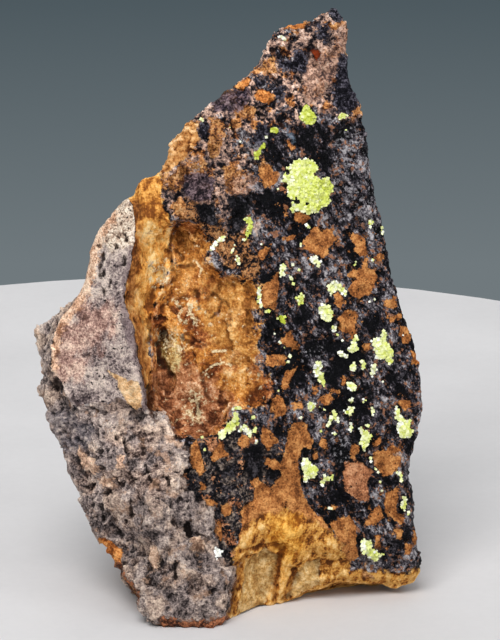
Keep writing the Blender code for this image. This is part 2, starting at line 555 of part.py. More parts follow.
def rock_shell():
    """The closed block: front sheet, rings round the sides and a domed back."""
    rim = resample(OUTLINE, EDGE_SPACING)
    flat, faces = triangulate(rim, lattice(OUTLINE, FACE_SPACING, 0.35, 7))
    depth = relief(flat)
    shell = bmesh.new()
    verts = [shell.verts.new(p) for p in to_world(flat, depth)]
    for face in faces:
        shell.faces.new([verts[k] for k in face])
    shell.verts.index_update()
    edges = [e for e in shell.edges if e.is_boundary]
    loop = ordered_loop(edges)
    front = np.array([flat[v.index] for v in loop])
    front_depth = np.array([depth[v.index] for v in loop])
    back = back_place(front)
    rear_depth = back_depth(back)
    middle = back.mean(axis=0)
    blunt = middle + (evened(front) - middle) * 0.985
    blunt_depth = evened(front_depth)
    ring = loop
    for share in SIDE_RINGS:
        plain = fade(share, 0.0, 0.16)
        place = front + (blunt - front) * plain
        place = place + (back - place) * share ** 1.2
        near = front_depth + (blunt_depth - front_depth) * plain
        ring = bridge_ring(shell, ring, to_world(place, near + (rear_depth - near) * share))
    for scale in (0.85, 0.65, 0.45, 0.25):
        place = middle + (back - middle) * scale
        ring = bridge_ring(shell, ring, to_world(place, back_depth(place) + 1.5 * (1.0 - scale)))
    shell.faces.new(ring)
    bmesh.ops.triangulate(shell, faces=[f for f in shell.faces if len(f.verts) > 4])
    bmesh.ops.recalc_face_normals(shell, faces=shell.faces)
    return shell


def evened(ring, reach=5):
    """A closed ring of values with each one averaged with its neighbours."""
    turns = range(-reach, reach + 1)
    return sum(np.roll(ring, k, axis=0) for k in turns) / len(turns)


def ordered_loop(edges):
    """The vertices of one closed run of edges, in order."""
    start = edges[0].verts[0]
    loop = [start]
    came = edges[0]
    here = edges[0].verts[1]
    wanted = set(edges)
    while here is not start:
        loop.append(here)
        came = next(e for e in here.link_edges if e in wanted and e is not came)
        here = came.other_vert(here)
    return loop


def bridge_ring(shell, ring, places):
    """A new ring of vertices joined to the last one by quads."""
    new = [shell.verts.new(p) for p in places]
    count = len(ring)
    for k in range(count):
        after = (k + 1) % count
        shell.faces.new((ring[k], ring[after], new[after], new[k]))
    return new


def break_off(shell):
    """Cuts the sides and the back to flat breaks."""
    for point, facing in BREAKS:
        place = Vector(to_world(np.array([point[:2]]), np.array([point[2]]))[0])
        across, up, back = facing
        turned = Vector((across, up * math.sin(LEAN) + back * math.cos(LEAN),
                         up * math.cos(LEAN) - back * math.sin(LEAN)))
        cut = bmesh.ops.bisect_plane(
            shell, geom=shell.verts[:] + shell.edges[:] + shell.faces[:], dist=1e-4,
            plane_co=place, plane_no=turned.normalized(), clear_outer=True)
        rim = [g for g in cut["geom_cut"] if isinstance(g, bmesh.types.BMEdge)]
        if rim:
            bmesh.ops.holes_fill(shell, edges=rim, sides=0)
    bmesh.ops.triangulate(shell, faces=shell.faces[:])
    bmesh.ops.recalc_face_normals(shell, faces=shell.faces)


def to_object(shell, name, finish):
    """An object in metres from a mesh in millimetres."""
    bmesh.ops.scale(shell, vec=(1 / METRE, 1 / METRE, 1 / METRE), verts=shell.verts)
    mesh = bpy.data.meshes.new(name)
    shell.to_mesh(mesh)
    shell.free()
    obj = bpy.data.objects.new(name, mesh)
    bpy.context.scene.collection.objects.link(obj)
    mesh.materials.append(finish)
    return obj


def bake_modifiers(obj):
    """Puts the result of an object's modifiers into its mesh."""
    graph = bpy.context.evaluated_depsgraph_get()
    baked = bpy.data.meshes.new_from_object(obj.evaluated_get(graph))
    obj.modifiers.clear()
    old = obj.data
    obj.data = baked
    bpy.data.meshes.remove(old)
    return obj


def weather_sides(obj):
    """Lumps and chips on the sides and the back, fading out at the rim of the front face."""
    mesh = obj.data
    facing_viewer = Vector((0.0, -math.cos(LEAN), math.sin(LEAN)))
    normals = [v.normal.copy() for v in mesh.vertices]
    seen = from_world(np.array([v.co for v in mesh.vertices]) * METRE)
    within = fade(inset(seen, OUTLINE), 0.1, 1.5)
    for vertex, normal, room in zip(mesh.vertices, normals, within):
        share = room * max(0.0, min(1.0, 0.55 - normal.dot(facing_viewer)))
        place = vertex.co * METRE
        swell = 0.9 * noise.fractal(place / 8.0, 0.9, 2.2, 5)
        chips = 0.5 * (noise.voronoi(place / 5.2)[0][0] - 0.4)
        vertex.co += normal * (share * (swell - chips) / METRE)


def cut_base(obj):
    """A flat base to rest on, at the floor."""
    mesh = bmesh.new()
    mesh.from_mesh(obj.data)
    cut = bmesh.ops.bisect_plane(
        mesh, geom=mesh.verts[:] + mesh.edges[:] + mesh.faces[:], dist=1e-7,
        plane_co=(0.0, 0.0, 0.0), plane_no=(0.0, 0.0, -1.0), clear_outer=True)
    rim = [g for g in cut["geom_cut"] if isinstance(g, bmesh.types.BMEdge)]
    bmesh.ops.holes_fill(mesh, edges=rim, sides=0)
    bmesh.ops.triangulate(mesh, faces=mesh.faces[:])
    bmesh.ops.dissolve_degenerate(mesh, edges=mesh.edges[:], dist=2e-6)
    bmesh.ops.triangulate(mesh, faces=mesh.faces[:])
    bmesh.ops.recalc_face_normals(mesh, faces=mesh.faces)
    mesh.to_mesh(obj.data)
    mesh.free()


def make_rock(finish):
    """The block of host rock, broken all round, with its base flat."""
    shell = rock_shell()
    break_off(shell)
    rock = to_object(shell, "host_rock", finish)
    remesh = rock.modifiers.new("even skin", "REMESH")
    remesh.mode = "VOXEL"
    remesh.voxel_size = VOXEL / METRE
    bake_modifiers(rock)
    weather_sides(rock)
    thin = rock.modifiers.new("fewer faces", "DECIMATE")
    thin.ratio = ROCK_TRIANGLES / (2.0 * len(rock.data.polygons))
    bake_modifiers(rock)
    cut_base(rock)
    return rock


def rock_depth(tree, points):
    """Depth at which the line of sight through each point of the face meets the rock."""
    eye = to_world(np.array([VIEW_CENTRE]), np.array([-VIEW_DISTANCE]))[0]
    eye = Vector(eye / METRE)
    targets = to_world(points, np.zeros(len(points))) / METRE
    out = np.empty(len(points))
    for i, target in enumerate(targets):
        ray = (Vector(target) - eye).normalized()
        hit = tree.ray_cast(eye, ray)
        if hit[0] is None:
            out[i] = np.nan
            continue
        share = (hit[0] - eye).length / (Vector(target) - eye).length
        out[i] = (share - 1.0) * VIEW_DISTANCE
    return out


def crust_depth(tree, flat, faces):
    """Depth of a crust's underside: it clears every point of the rock beneath it."""
    depth = rock_depth(tree, flat)
    known = depth[~np.isnan(depth)]
    depth = np.where(np.isnan(depth), known.min(), depth)
    weights = [(a / 6, b / 6, (6 - a - b) / 6) for a in range(7) for b in range(7 - a)]
    raised = depth.copy()
    for face in faces:
        corners = flat[list(face)]
        inner = np.array(weights) @ corners
        below = rock_depth(tree, inner)
        level = np.array(weights) @ depth[list(face)]
        short = np.nanmax(level - below)
        if short > 0:
            for k in face:
                raised[k] = min(raised[k], depth[k] - short)
    return raised - CRUST_GAP


def crust_sheet(tree, outline, spacing, seed):
    """A thin plate that follows the rock: top and underside over an outline, joined at the rim."""
    rim = resample(outline, spacing)
    flat, faces = triangulate(rim, lattice(outline, spacing, spacing * 0.45, seed))
    under = crust_depth(tree, flat, faces)
    sheet = bmesh.new()
    low = [sheet.verts.new(p) for p in to_world(flat, under)]
    high = [sheet.verts.new(p) for p in to_world(flat, under - CRUST_THICKNESS)]
    for face in faces:
        sheet.faces.new([low[k] for k in face])
        sheet.faces.new([high[k] for k in reversed(face)])
    sheet.verts.index_update()
    for edge in [e for e in sheet.edges if e.is_boundary and e.verts[0].index < len(low)]:
        a = edge.verts[0].index
        b = edge.verts[1].index
        sheet.faces.new((low[a], low[b], high[b], high[a]))
    bmesh.ops.triangulate(sheet, faces=sheet.faces[:])
    bmesh.ops.recalc_face_normals(sheet, faces=sheet.faces)
    return sheet, flat, under - CRUST_THICKNESS


def tablet_spots(outline, rng):
    """Places and sizes of the square crystals on a crust."""
    reach = 0.42 * TABLET_SIDES[1]
    spots = []
    for point in lattice(outline, 1.15, 0.36, rng.randrange(1000)):
        side = rng.uniform(*TABLET_SIDES)
        room = inset(np.array([tuple(point)]), outline)[0]
        side = min(side, TABLET_SIDES[0] + room)
        if room > 0.3 or side < reach:
            spots.append((point, side))
    return spots


def tablets(tree, outline, flat, top, rng):
    """Square tabular crystals lying on a crust, each a thin box with its own turn and tilt."""
    boxes = bmesh.new()
    for point, side in tablet_spots(outline, rng):
        nearest = np.argsort(np.linalg.norm(flat - np.array(tuple(point)), axis=1))[:3]
        turn = rng.uniform(0.0, math.pi / 2)
        tilt_u = math.tan(rng.uniform(-TABLET_TILT, TABLET_TILT))
        tilt_w = math.tan(rng.uniform(-TABLET_TILT, TABLET_TILT))
        lift = rng.uniform(0.35, 0.9) * TABLET_THICKNESS
        corners = []
        for k in range(4):
            angle = turn + k * math.pi / 2
            corners.append((math.cos(angle) * side / math.sqrt(2.0), math.sin(angle) * side / math.sqrt(2.0)))
        corners = np.array(corners)
        place = corners + np.array(tuple(point))
        slope = corners @ np.array((tilt_u, tilt_w))
        level = top[nearest].mean() - lift + slope
        bare = np.nanmin(rock_depth(tree, np.vstack((place, place * 0.5 + np.array(tuple(point)) * 0.5))))
        level -= max(0.0, (level + TABLET_THICKNESS).max() - (bare - CRUST_GAP))
        outer = [boxes.verts.new(p) for p in to_world(place, level)]
        inner = [boxes.verts.new(p) for p in to_world(place, level + TABLET_THICKNESS)]
        boxes.faces.new(outer)
        boxes.faces.new(list(reversed(inner)))
        for k in range(4):
            after = (k + 1) % 4
            boxes.faces.new((outer[k], inner[k], inner[after], outer[after]))
    bmesh.ops.recalc_face_normals(boxes, faces=boxes.faces)
    return boxes


def make_crust(name, outline, tree, finish, seed):
    """One crust of grown-together tablets, as one solid."""
    rng = random.Random(seed)
    span = np.ptp(np.array(outline, float), axis=0).max()
    spacing = SHEET_SPACING if span > 2.2 else 0.9 * SHEET_SPACING
    sheet, flat, top = crust_sheet(tree, outline, spacing, seed)
    crust = to_object(sheet, name, finish)
    cutter = to_object(tablets(tree, outline, flat, top, rng), name + "_tablets", finish)
    cutter.hide_render = True
    cutter.display_type = "WIRE"
    if len(cutter.data.polygons):
        union = crust.modifiers.new("grown together", "BOOLEAN")
        union.operation = "UNION"
        union.solver = "EXACT"
        union.use_self = True
        union.object = cutter
        bake_modifiers(crust)
    bpy.data.objects.remove(cutter, do_unlink=True)
    return crust


def main():
    clear_scene()
    rock_finish = material("limonite_stained_rock", ROCK_COLOUR, 0.8)
    crystal_finish = material("autunite", CRYSTAL_COLOUR, 0.45)
    rock = make_rock(rock_finish)
    mesh = bmesh.new()
    mesh.from_mesh(rock.data)
    tree = BVHTree.FromBMesh(mesh)
    for seed, (name, outline) in enumerate(CRUSTS.items(), start=1):
        make_crust(name, outline, tree, crystal_finish, seed)
    mesh.free()


main()
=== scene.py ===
"""Looks of the autunite specimen: the stained skin of its rock, its crystals, the floor and the light.

The front face is drawn as it looks from VIEW_DISTANCE, square to it: u runs to the right and w up
along the face, in millimetres, and depth runs into the stone. The world is in metres.
"""
import math
import random

import bmesh
import bpy
import numpy as np
from mathutils import Matrix, Vector, noise
from mathutils.bvhtree import BVHTree


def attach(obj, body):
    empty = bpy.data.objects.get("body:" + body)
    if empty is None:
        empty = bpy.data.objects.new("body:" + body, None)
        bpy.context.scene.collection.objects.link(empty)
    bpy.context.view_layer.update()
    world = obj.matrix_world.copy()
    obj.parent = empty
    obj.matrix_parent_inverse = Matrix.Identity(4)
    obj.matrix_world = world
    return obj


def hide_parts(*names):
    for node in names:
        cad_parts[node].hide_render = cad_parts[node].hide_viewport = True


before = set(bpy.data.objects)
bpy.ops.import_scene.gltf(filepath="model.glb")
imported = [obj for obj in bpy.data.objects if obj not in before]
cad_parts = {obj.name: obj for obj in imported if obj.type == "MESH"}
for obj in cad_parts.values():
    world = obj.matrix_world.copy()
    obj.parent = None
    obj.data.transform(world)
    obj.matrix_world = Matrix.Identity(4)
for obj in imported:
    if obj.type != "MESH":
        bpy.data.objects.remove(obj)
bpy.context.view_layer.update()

# Noise vectors follow the clock unless they have a seed, and every run has to be the same.
NOISE_SEED = 16
noise.seed_set(NOISE_SEED)

# Millimetres in a metre.
METRE = 1000.0
# The face's own frame, as in the part's source: its lean, the point that it is seen from and what
# that point looks at, where the foot is cut level, and the world's origin in that frame.
LEAN = math.radians(16.0)
VIEW_DISTANCE = 500.0
VIEW_CENTRE = (2.5, 38.75)
FLOOR_CUT = -0.1
ORIGIN = (-0.09, 18.18)

# Fineness of the rock's skin, in millimetres, triangles and rounds of smoothing.
SKIN_VOXEL = 0.25
SKIN_TRIANGLES = 195000
SKIN_SMOOTHING = 4
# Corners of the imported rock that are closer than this, in metres, are one corner.
SAME_CORNER = 1e-6
# Crusts and fine triangles end where the stone turns this far behind the face that is seen.
FACE_DEPTH = 1.6
# How far from its edge a zone is still told apart from the rest of the stone.
ZONE_REACH = 3.0
# Where the broken sides begin behind the face, where they are at their roughest, and the flat base.
SIDE_START = 0.5
SIDE_FULL = 4.0
BASE_FLAT = 1.0
# Rounds of averaging that tell small dips, and wide bowls, from their surroundings.
DIP_ROUNDS = 12
BOWL_ROUNDS = 60
# How much finer each octave of noise is than the one before.
OCTAVE_STEP = 2.1
# A cell's centre is spread by this much before the cell draws its own random value.
CELL_SPREAD = 5.3
# How far, and how often in a unit, the borders of chips are bent.
CHIP_BEND = 0.3
CHIP_BENDS = 1.7

# Streaks of the black coat: how long and wide they are, and how they lean.
STREAK = (0.75, 1.0, 1.8)
STREAK_TURN = math.radians(-30.0)
# Lines of the ochre wall, nearly upright.
WALL_LINES = (0.6, 1.0, 2.2)
WALL_TURN = math.radians(-6.0)

# Borders that two zones share: the plate's edge along the wall, its foot on the rough mass, its
# side along the lump, and the wall's edge along the hollow.
PLATE_EDGE = [
    (-12.8, 54), (-12.2, 53.1), (-11.9, 51.2), (-11.8, 48.8), (-12.2, 47.1), (-12.5, 45),
    (-13, 43.1), (-13.2, 41.2), (-12.8, 39.4), (-12, 37.5), (-11.6, 35), (-11.2, 32.5),
]
PLATE_FOOT = [
    (-10.5, 27.4), (-11.9, 27.4), (-12.9, 28.4), (-14, 29.1), (-15.2, 28.4), (-16.9, 28.6),
    (-19.4, 27.8), (-20.8, 30), (-21.9, 31.2),
]
PLATE_SIDE = [
    (-22.4, 32.8), (-22.4, 34.4), (-22, 36.9), (-21.2, 38.8), (-20.2, 40.1), (-19.1, 41.6),
]
HOLLOW_EDGE = [
    (-10, 28.1), (-10, 31.2), (-10.1, 33.1), (-10, 35), (-10, 38.8), (-9.4, 41.2), (-8.8, 42.5),
    (-7.2, 46), (-7.6, 48.1), (-7.5, 50.6),
]

# The proud grey plate on the left.
PLATE = PLATE_EDGE + [(-10.5, 30.2), (-10, 28.2)] + PLATE_FOOT + PLATE_SIDE + [
    (-20, 43.8), (-18.8, 48.8), (-16.9, 52.5), (-14.4, 55),
]

# The ochre wall between the plate and the hollow.
WALL = PLATE_EDGE + [(-10.4, 30)] + HOLLOW_EDGE + [
    (-7.9, 51.5), (-8.6, 53.8), (-8.4, 56.5), (-8.8, 57), (-10, 58.1), (-13.1, 56.2),
]

# The red-brown hollow in the middle.
HOLLOW = HOLLOW_EDGE + [
    (-5.6, 51), (-3.8, 50.6), (-2.5, 48.8), (-3.1, 46), (-1, 44.4), (2.5, 43.8), (3.4, 43.1),
    (3.4, 40), (3.4, 36.2), (3.5, 33.5), (4.8, 31.2), (5, 29.4), (3.1, 27.8), (0.4, 28.1),
    (-0.2, 25.6), (-2.8, 24.1), (-6.9, 24.2), (-7.8, 26.2),
]

# The rough grey mass at the lower left.
ROUGH = [
    (-10, 27.8), (-7.8, 26.6), (-6.9, 24.1), (-5, 22.8), (-5.2, 20.6), (-6.2, 19.4), (-4.4, 16.9),
    (-2.1, 15), (-1.9, 11.9), (-1.5, 9.4), (0.2, 8), (0.8, 6.9), (0.1, 3.8), (-1, 0.2),
    (-3.1, -1.2), (-13.8, -1.2), (-21.2, 13.8), (-25, 26.2), (-25, 30.6),
] + PLATE_FOOT[::-1]

# The dark lump at the far left, behind the plate's rim.
SIDE_LUMP = [(-26, 38.1), (-22.5, 41.8)] + PLATE_SIDE[::-1] + [
    (-21.9, 31.2), (-22.5, 30.0), (-26, 29.4),
]

# Rusty patches of limonite on the black face.
LIMONITE = [
    [
        (3.6, 57.9), (4.1, 58.2), (4.9, 58.1), (5.2, 57.5), (6.1, 57.3), (6.2, 56.6),
        (5.7, 55.6), (4.5, 55.5), (4, 56.2), (3.6, 57),
    ],
    [(6.2, 55.5), (6.9, 55.4), (6.8, 54.9), (6.2, 55)],
    [(7.1, 61.6), (7.5, 61), (8.2, 60.2), (7.8, 59.8), (7.2, 60.4)],
    [(6.5, 53.4), (7.2, 52.9), (7.1, 52), (6.8, 52.5)],
    [(7.9, 52.2), (8.9, 52.4), (10, 51.5), (9.6, 51), (9.2, 50.7), (8.2, 51)],
    [
        (9, 48.7), (9.6, 49.1), (10.2, 50.1), (11, 50.5), (11.3, 49.8), (12, 50.2), (13, 50.1),
        (12.8, 49.4), (13.5, 48.9), (13, 48.4), (12.4, 47.7), (12.3, 46.9), (11.6, 46.4),
        (11, 46.8), (9.6, 47.4), (9.2, 48),
    ],
    [
        (15.3, 49.6), (16, 49.5), (16.8, 48.9), (17, 47.7), (17.3, 46.8), (16.2, 46.8),
        (15.5, 47.4), (15.8, 48), (14.9, 48.9),
    ],
    [
        (15.3, 45), (16.3, 45.2), (16.8, 46.5), (17.3, 46.5), (17.2, 45.2), (18.1, 45),
        (18.4, 44.1), (18, 42.9), (17.3, 41.9), (16, 41.4), (15.2, 41.6), (14.8, 42.6),
        (15.1, 43.4), (15.9, 43.9), (14.5, 44.2),
    ],
    [(18.1, 46.6), (18.6, 47.1), (19.3, 46.9), (19.3, 46.4), (18.6, 46)],
    [
        (14.4, 40), (15.2, 40.1), (16, 39.5), (15.8, 38.9), (15.6, 37.9), (15.8, 37),
        (15.2, 36.3), (14.6, 37.1), (13.8, 37.4), (13.8, 38.4), (13.4, 38.9), (14, 39.3),
    ],
    [(12.9, 41.8), (13.4, 42.3), (14.1, 41.6), (14.2, 40.9), (13.6, 40.3), (13, 40.9)],
    [(3.5, 47.4), (4.2, 47.8), (5.1, 47.8), (4.2, 46.1), (3.5, 46.5)],
    [(4, 42.9), (5.2, 43.8), (6, 44.8), (6.2, 42.5), (5.6, 40.1), (4, 40.4), (3.8, 41.5)],
    [(6.4, 49), (8.2, 49.4), (8, 48.8), (6.6, 48.6)],
    [(19.2, 41.3), (20.4, 41.4), (21, 40.9), (20.8, 40.3), (20, 40.1), (19.3, 40.5)],
    [(19.8, 39), (20.9, 39.5), (21.3, 39.8), (21.3, 39.1), (19.9, 38.3)],
    [(21.2, 38.1), (22.2, 37.8), (22.6, 36.2), (21.8, 35.6), (21.1, 36.9)],
    [(16.6, 35.9), (17.5, 35.8), (17.5, 34.9), (16.6, 35)],
    [(20.9, 28.7), (21.8, 28.9), (22.6, 28.5), (22.5, 27.9), (21.8, 27.3), (21.3, 27.8)],
    [(10.9, 28.9), (12.3, 29.7), (12.8, 28.9), (12.3, 27.9), (11.8, 28.1)],
    [(12.5, 30.2), (13.8, 30.1), (13.8, 29.5), (12.6, 29.6)],
    [(14, 31.9), (14.6, 31.5), (14.3, 30.5), (13.9, 30.6)],
    [(7.6, 28.4), (9.1, 28.5), (9.1, 27.6), (7.9, 27.5)],
    [(5.2, 28.8), (5.9, 29.5), (6.6, 29.1), (7, 27.8), (6.9, 26.9), (5.9, 26.6), (5.1, 27.5)],
    [(6.6, 29.8), (6.4, 31.2), (6.9, 32.2), (8.5, 33), (8, 32.1), (7, 30.2)],
    [(6.9, 36.9), (7.5, 37.6), (8.5, 35.5), (8.8, 34.9), (6.9, 35.5), (6.2, 36)],
    [(4.4, 34.4), (6.9, 34.4), (6.8, 33.1), (4.5, 33)],
    [
        (7.5, 25.6), (8.4, 26), (9.6, 25.9), (9.9, 24.4), (10.5, 23.4), (10.1, 22.6),
        (9, 22.8), (8.5, 21), (8.8, 18.1), (9.8, 15.6), (11.5, 13.9), (12.9, 12.1),
        (13.8, 10.2), (11.9, 6.9), (8.1, 5.6), (1, 5), (1, 9.4), (1, 11.2), (1.6, 13.8),
        (1.2, 14.8), (1.9, 15.6), (4.4, 17.2), (6.4, 19.4), (6.6, 21.9), (7.2, 24.1),
    ],
    [
        (4.1, 25.5), (4.8, 25.1), (5.9, 24), (6.2, 23.2), (5.4, 23.2), (4.8, 22.2),
        (4.4, 22.8), (3.8, 23.9),
    ],
    [(1.6, 24.8), (2.4, 23.8), (2.4, 23.1), (1.4, 22.7), (0.9, 23.4)],
    [(-0.9, 23.8), (-0.8, 22.6), (-0.1, 21.9), (-2.1, 21), (-2.5, 21.5), (-1.9, 22.5)],
    [(-5, 22.9), (-4.1, 23.8), (-3.4, 21), (-3.1, 20), (-3.8, 19.2), (-5.1, 21)],
    [
        (14.4, 20.7), (15.8, 21.1), (16.8, 20.7), (17.9, 19.8), (17.2, 18.8), (17.2, 17.8),
        (17.5, 16.8), (17.4, 16), (16, 16.2), (15.3, 16.8), (14.3, 17.5), (14.1, 19.6),
    ],
    [(15.2, 23.3), (16.2, 23), (15.6, 21.3), (15, 21.4)],
    [
        (17.9, 22.3), (19.5, 22.5), (20.2, 23.1), (21.1, 23), (21.5, 22), (21.3, 20.8),
        (20.9, 20.1), (20.4, 19.6), (19.1, 19.2), (18, 20.6),
    ],
    [(17.9, 23.6), (18.8, 24.2), (18.8, 23.3), (18, 22.8)],
    [
        (19.3, 17), (21.2, 18), (20.9, 15.9), (20.9, 14.9), (21.9, 13.9), (21.3, 13.1),
        (20.3, 13.9), (19.4, 14.5),
    ],
    [(17.1, 14), (18.5, 15.7), (19.3, 14.1), (18.5, 13.5), (16.8, 12.8)],
    [
        (12.5, 13.3), (13.6, 14), (14.9, 14.3), (15.8, 13), (15.8, 10.6), (16.1, 9.2),
        (14.4, 8.1), (13.3, 11.6), (13, 12.4),
    ],
    [(18.1, 11.9), (18.8, 11.8), (18.8, 10.2), (18.1, 10.4)],
    [(20.6, 12.8), (21.5, 12.5), (21.4, 11.2), (20.8, 11.4)],
    [(21.9, 10.9), (22.8, 10.6), (22.6, 9.4), (21.9, 9.6)],
    [(22.8, 12.5), (23.4, 12.2), (23.4, 10.6), (22.9, 10.8)],
    [(11.5, 24.2), (12.1, 23.5), (11.9, 22.5), (11.1, 23.1)],
    [(11, 22.2), (11, 21.4), (10.4, 21.2), (10.4, 22.1)],
    [(12.9, 15.8), (13.4, 15.4), (12.9, 14.9), (12.5, 15.2)],
    [(10.2, 30.6), (10.9, 30.5), (10.8, 29.9), (10.1, 30)],
    [(-1.1, 15.6), (-0.2, 15.9), (0.4, 15.2), (0.1, 14.4), (-0.6, 14.1), (-1.2, 14.9)],
    [(1.8, 15.5), (2.5, 15.9), (3.4, 15.4), (3.5, 14), (2.6, 13.6), (1.6, 14.5)],
    [(-3.4, 16.5), (-2.2, 16.2), (-1.4, 15.9), (-1.6, 15.4), (-2.9, 15.6)],
    [(-1.9, 13.8), (-1.2, 13.6), (-1, 11.9), (-1.1, 10.9), (-1.8, 12.2)],
    [(1.6, 11.9), (3.5, 12.5), (5, 11.9), (4.8, 10.2), (2.8, 9.8), (1.5, 10.6)],
    [(4.5, 21.6), (5.6, 21.2), (6.7, 20.8), (6.3, 20), (5, 20.2), (4.4, 20.8)],
    [(2.5, 18.7), (3.5, 19), (4.3, 18.2), (5.2, 17.6), (4.2, 16.2), (2.8, 16.4), (3, 17.6)],
    [(-3.8, 18.5), (-3.1, 18.3), (-2.9, 17.5), (-3.6, 17.4)],
]

# The ochre underside at the lower right.
FOOT = [
    (0.1, 3.2), (0.8, 6.9), (0.2, 8.8), (1, 10.6), (1.9, 12.8), (4, 14.4), (6.9, 15.2),
    (9.4, 14.2), (11.5, 13.1), (12.9, 12.1), (14.1, 10), (15.2, 7.5), (18.8, 7.4), (21.2, 7.1),
    (25, 8), (25, -1.2), (-2.5, -1.2),
]

# The pinkish granular rock above the hollow and towards the tip.
GRANULAR = [
    (-10, 56.2), (-8.4, 53.8), (-7.5, 50.6), (-5.6, 51), (-3.8, 50.6), (-2.2, 48.8), (-1, 46),
    (1.2, 46), (2.8, 48.8), (1.6, 53.1), (2.5, 55), (2.8, 60), (4, 62.8), (8.8, 63.2),
    (11.5, 64.8), (14.4, 63.8), (17.5, 64.2), (20, 80), (-10, 80),
]

# Black, brown and grey specks between the black face and the rough mass.
MOTTLED = [
    (-5.2, 23.1), (-0.2, 25.2), (4, 23.8), (6.8, 22.2), (6.5, 19.4), (4.4, 17.2), (1.9, 15.6),
    (1.2, 12.5), (1, 8.8), (-0.2, 8), (-1.5, 9.6), (-2.2, 15), (-4.2, 16.6), (-6.2, 19.2),
    (-5.1, 20.6),
]

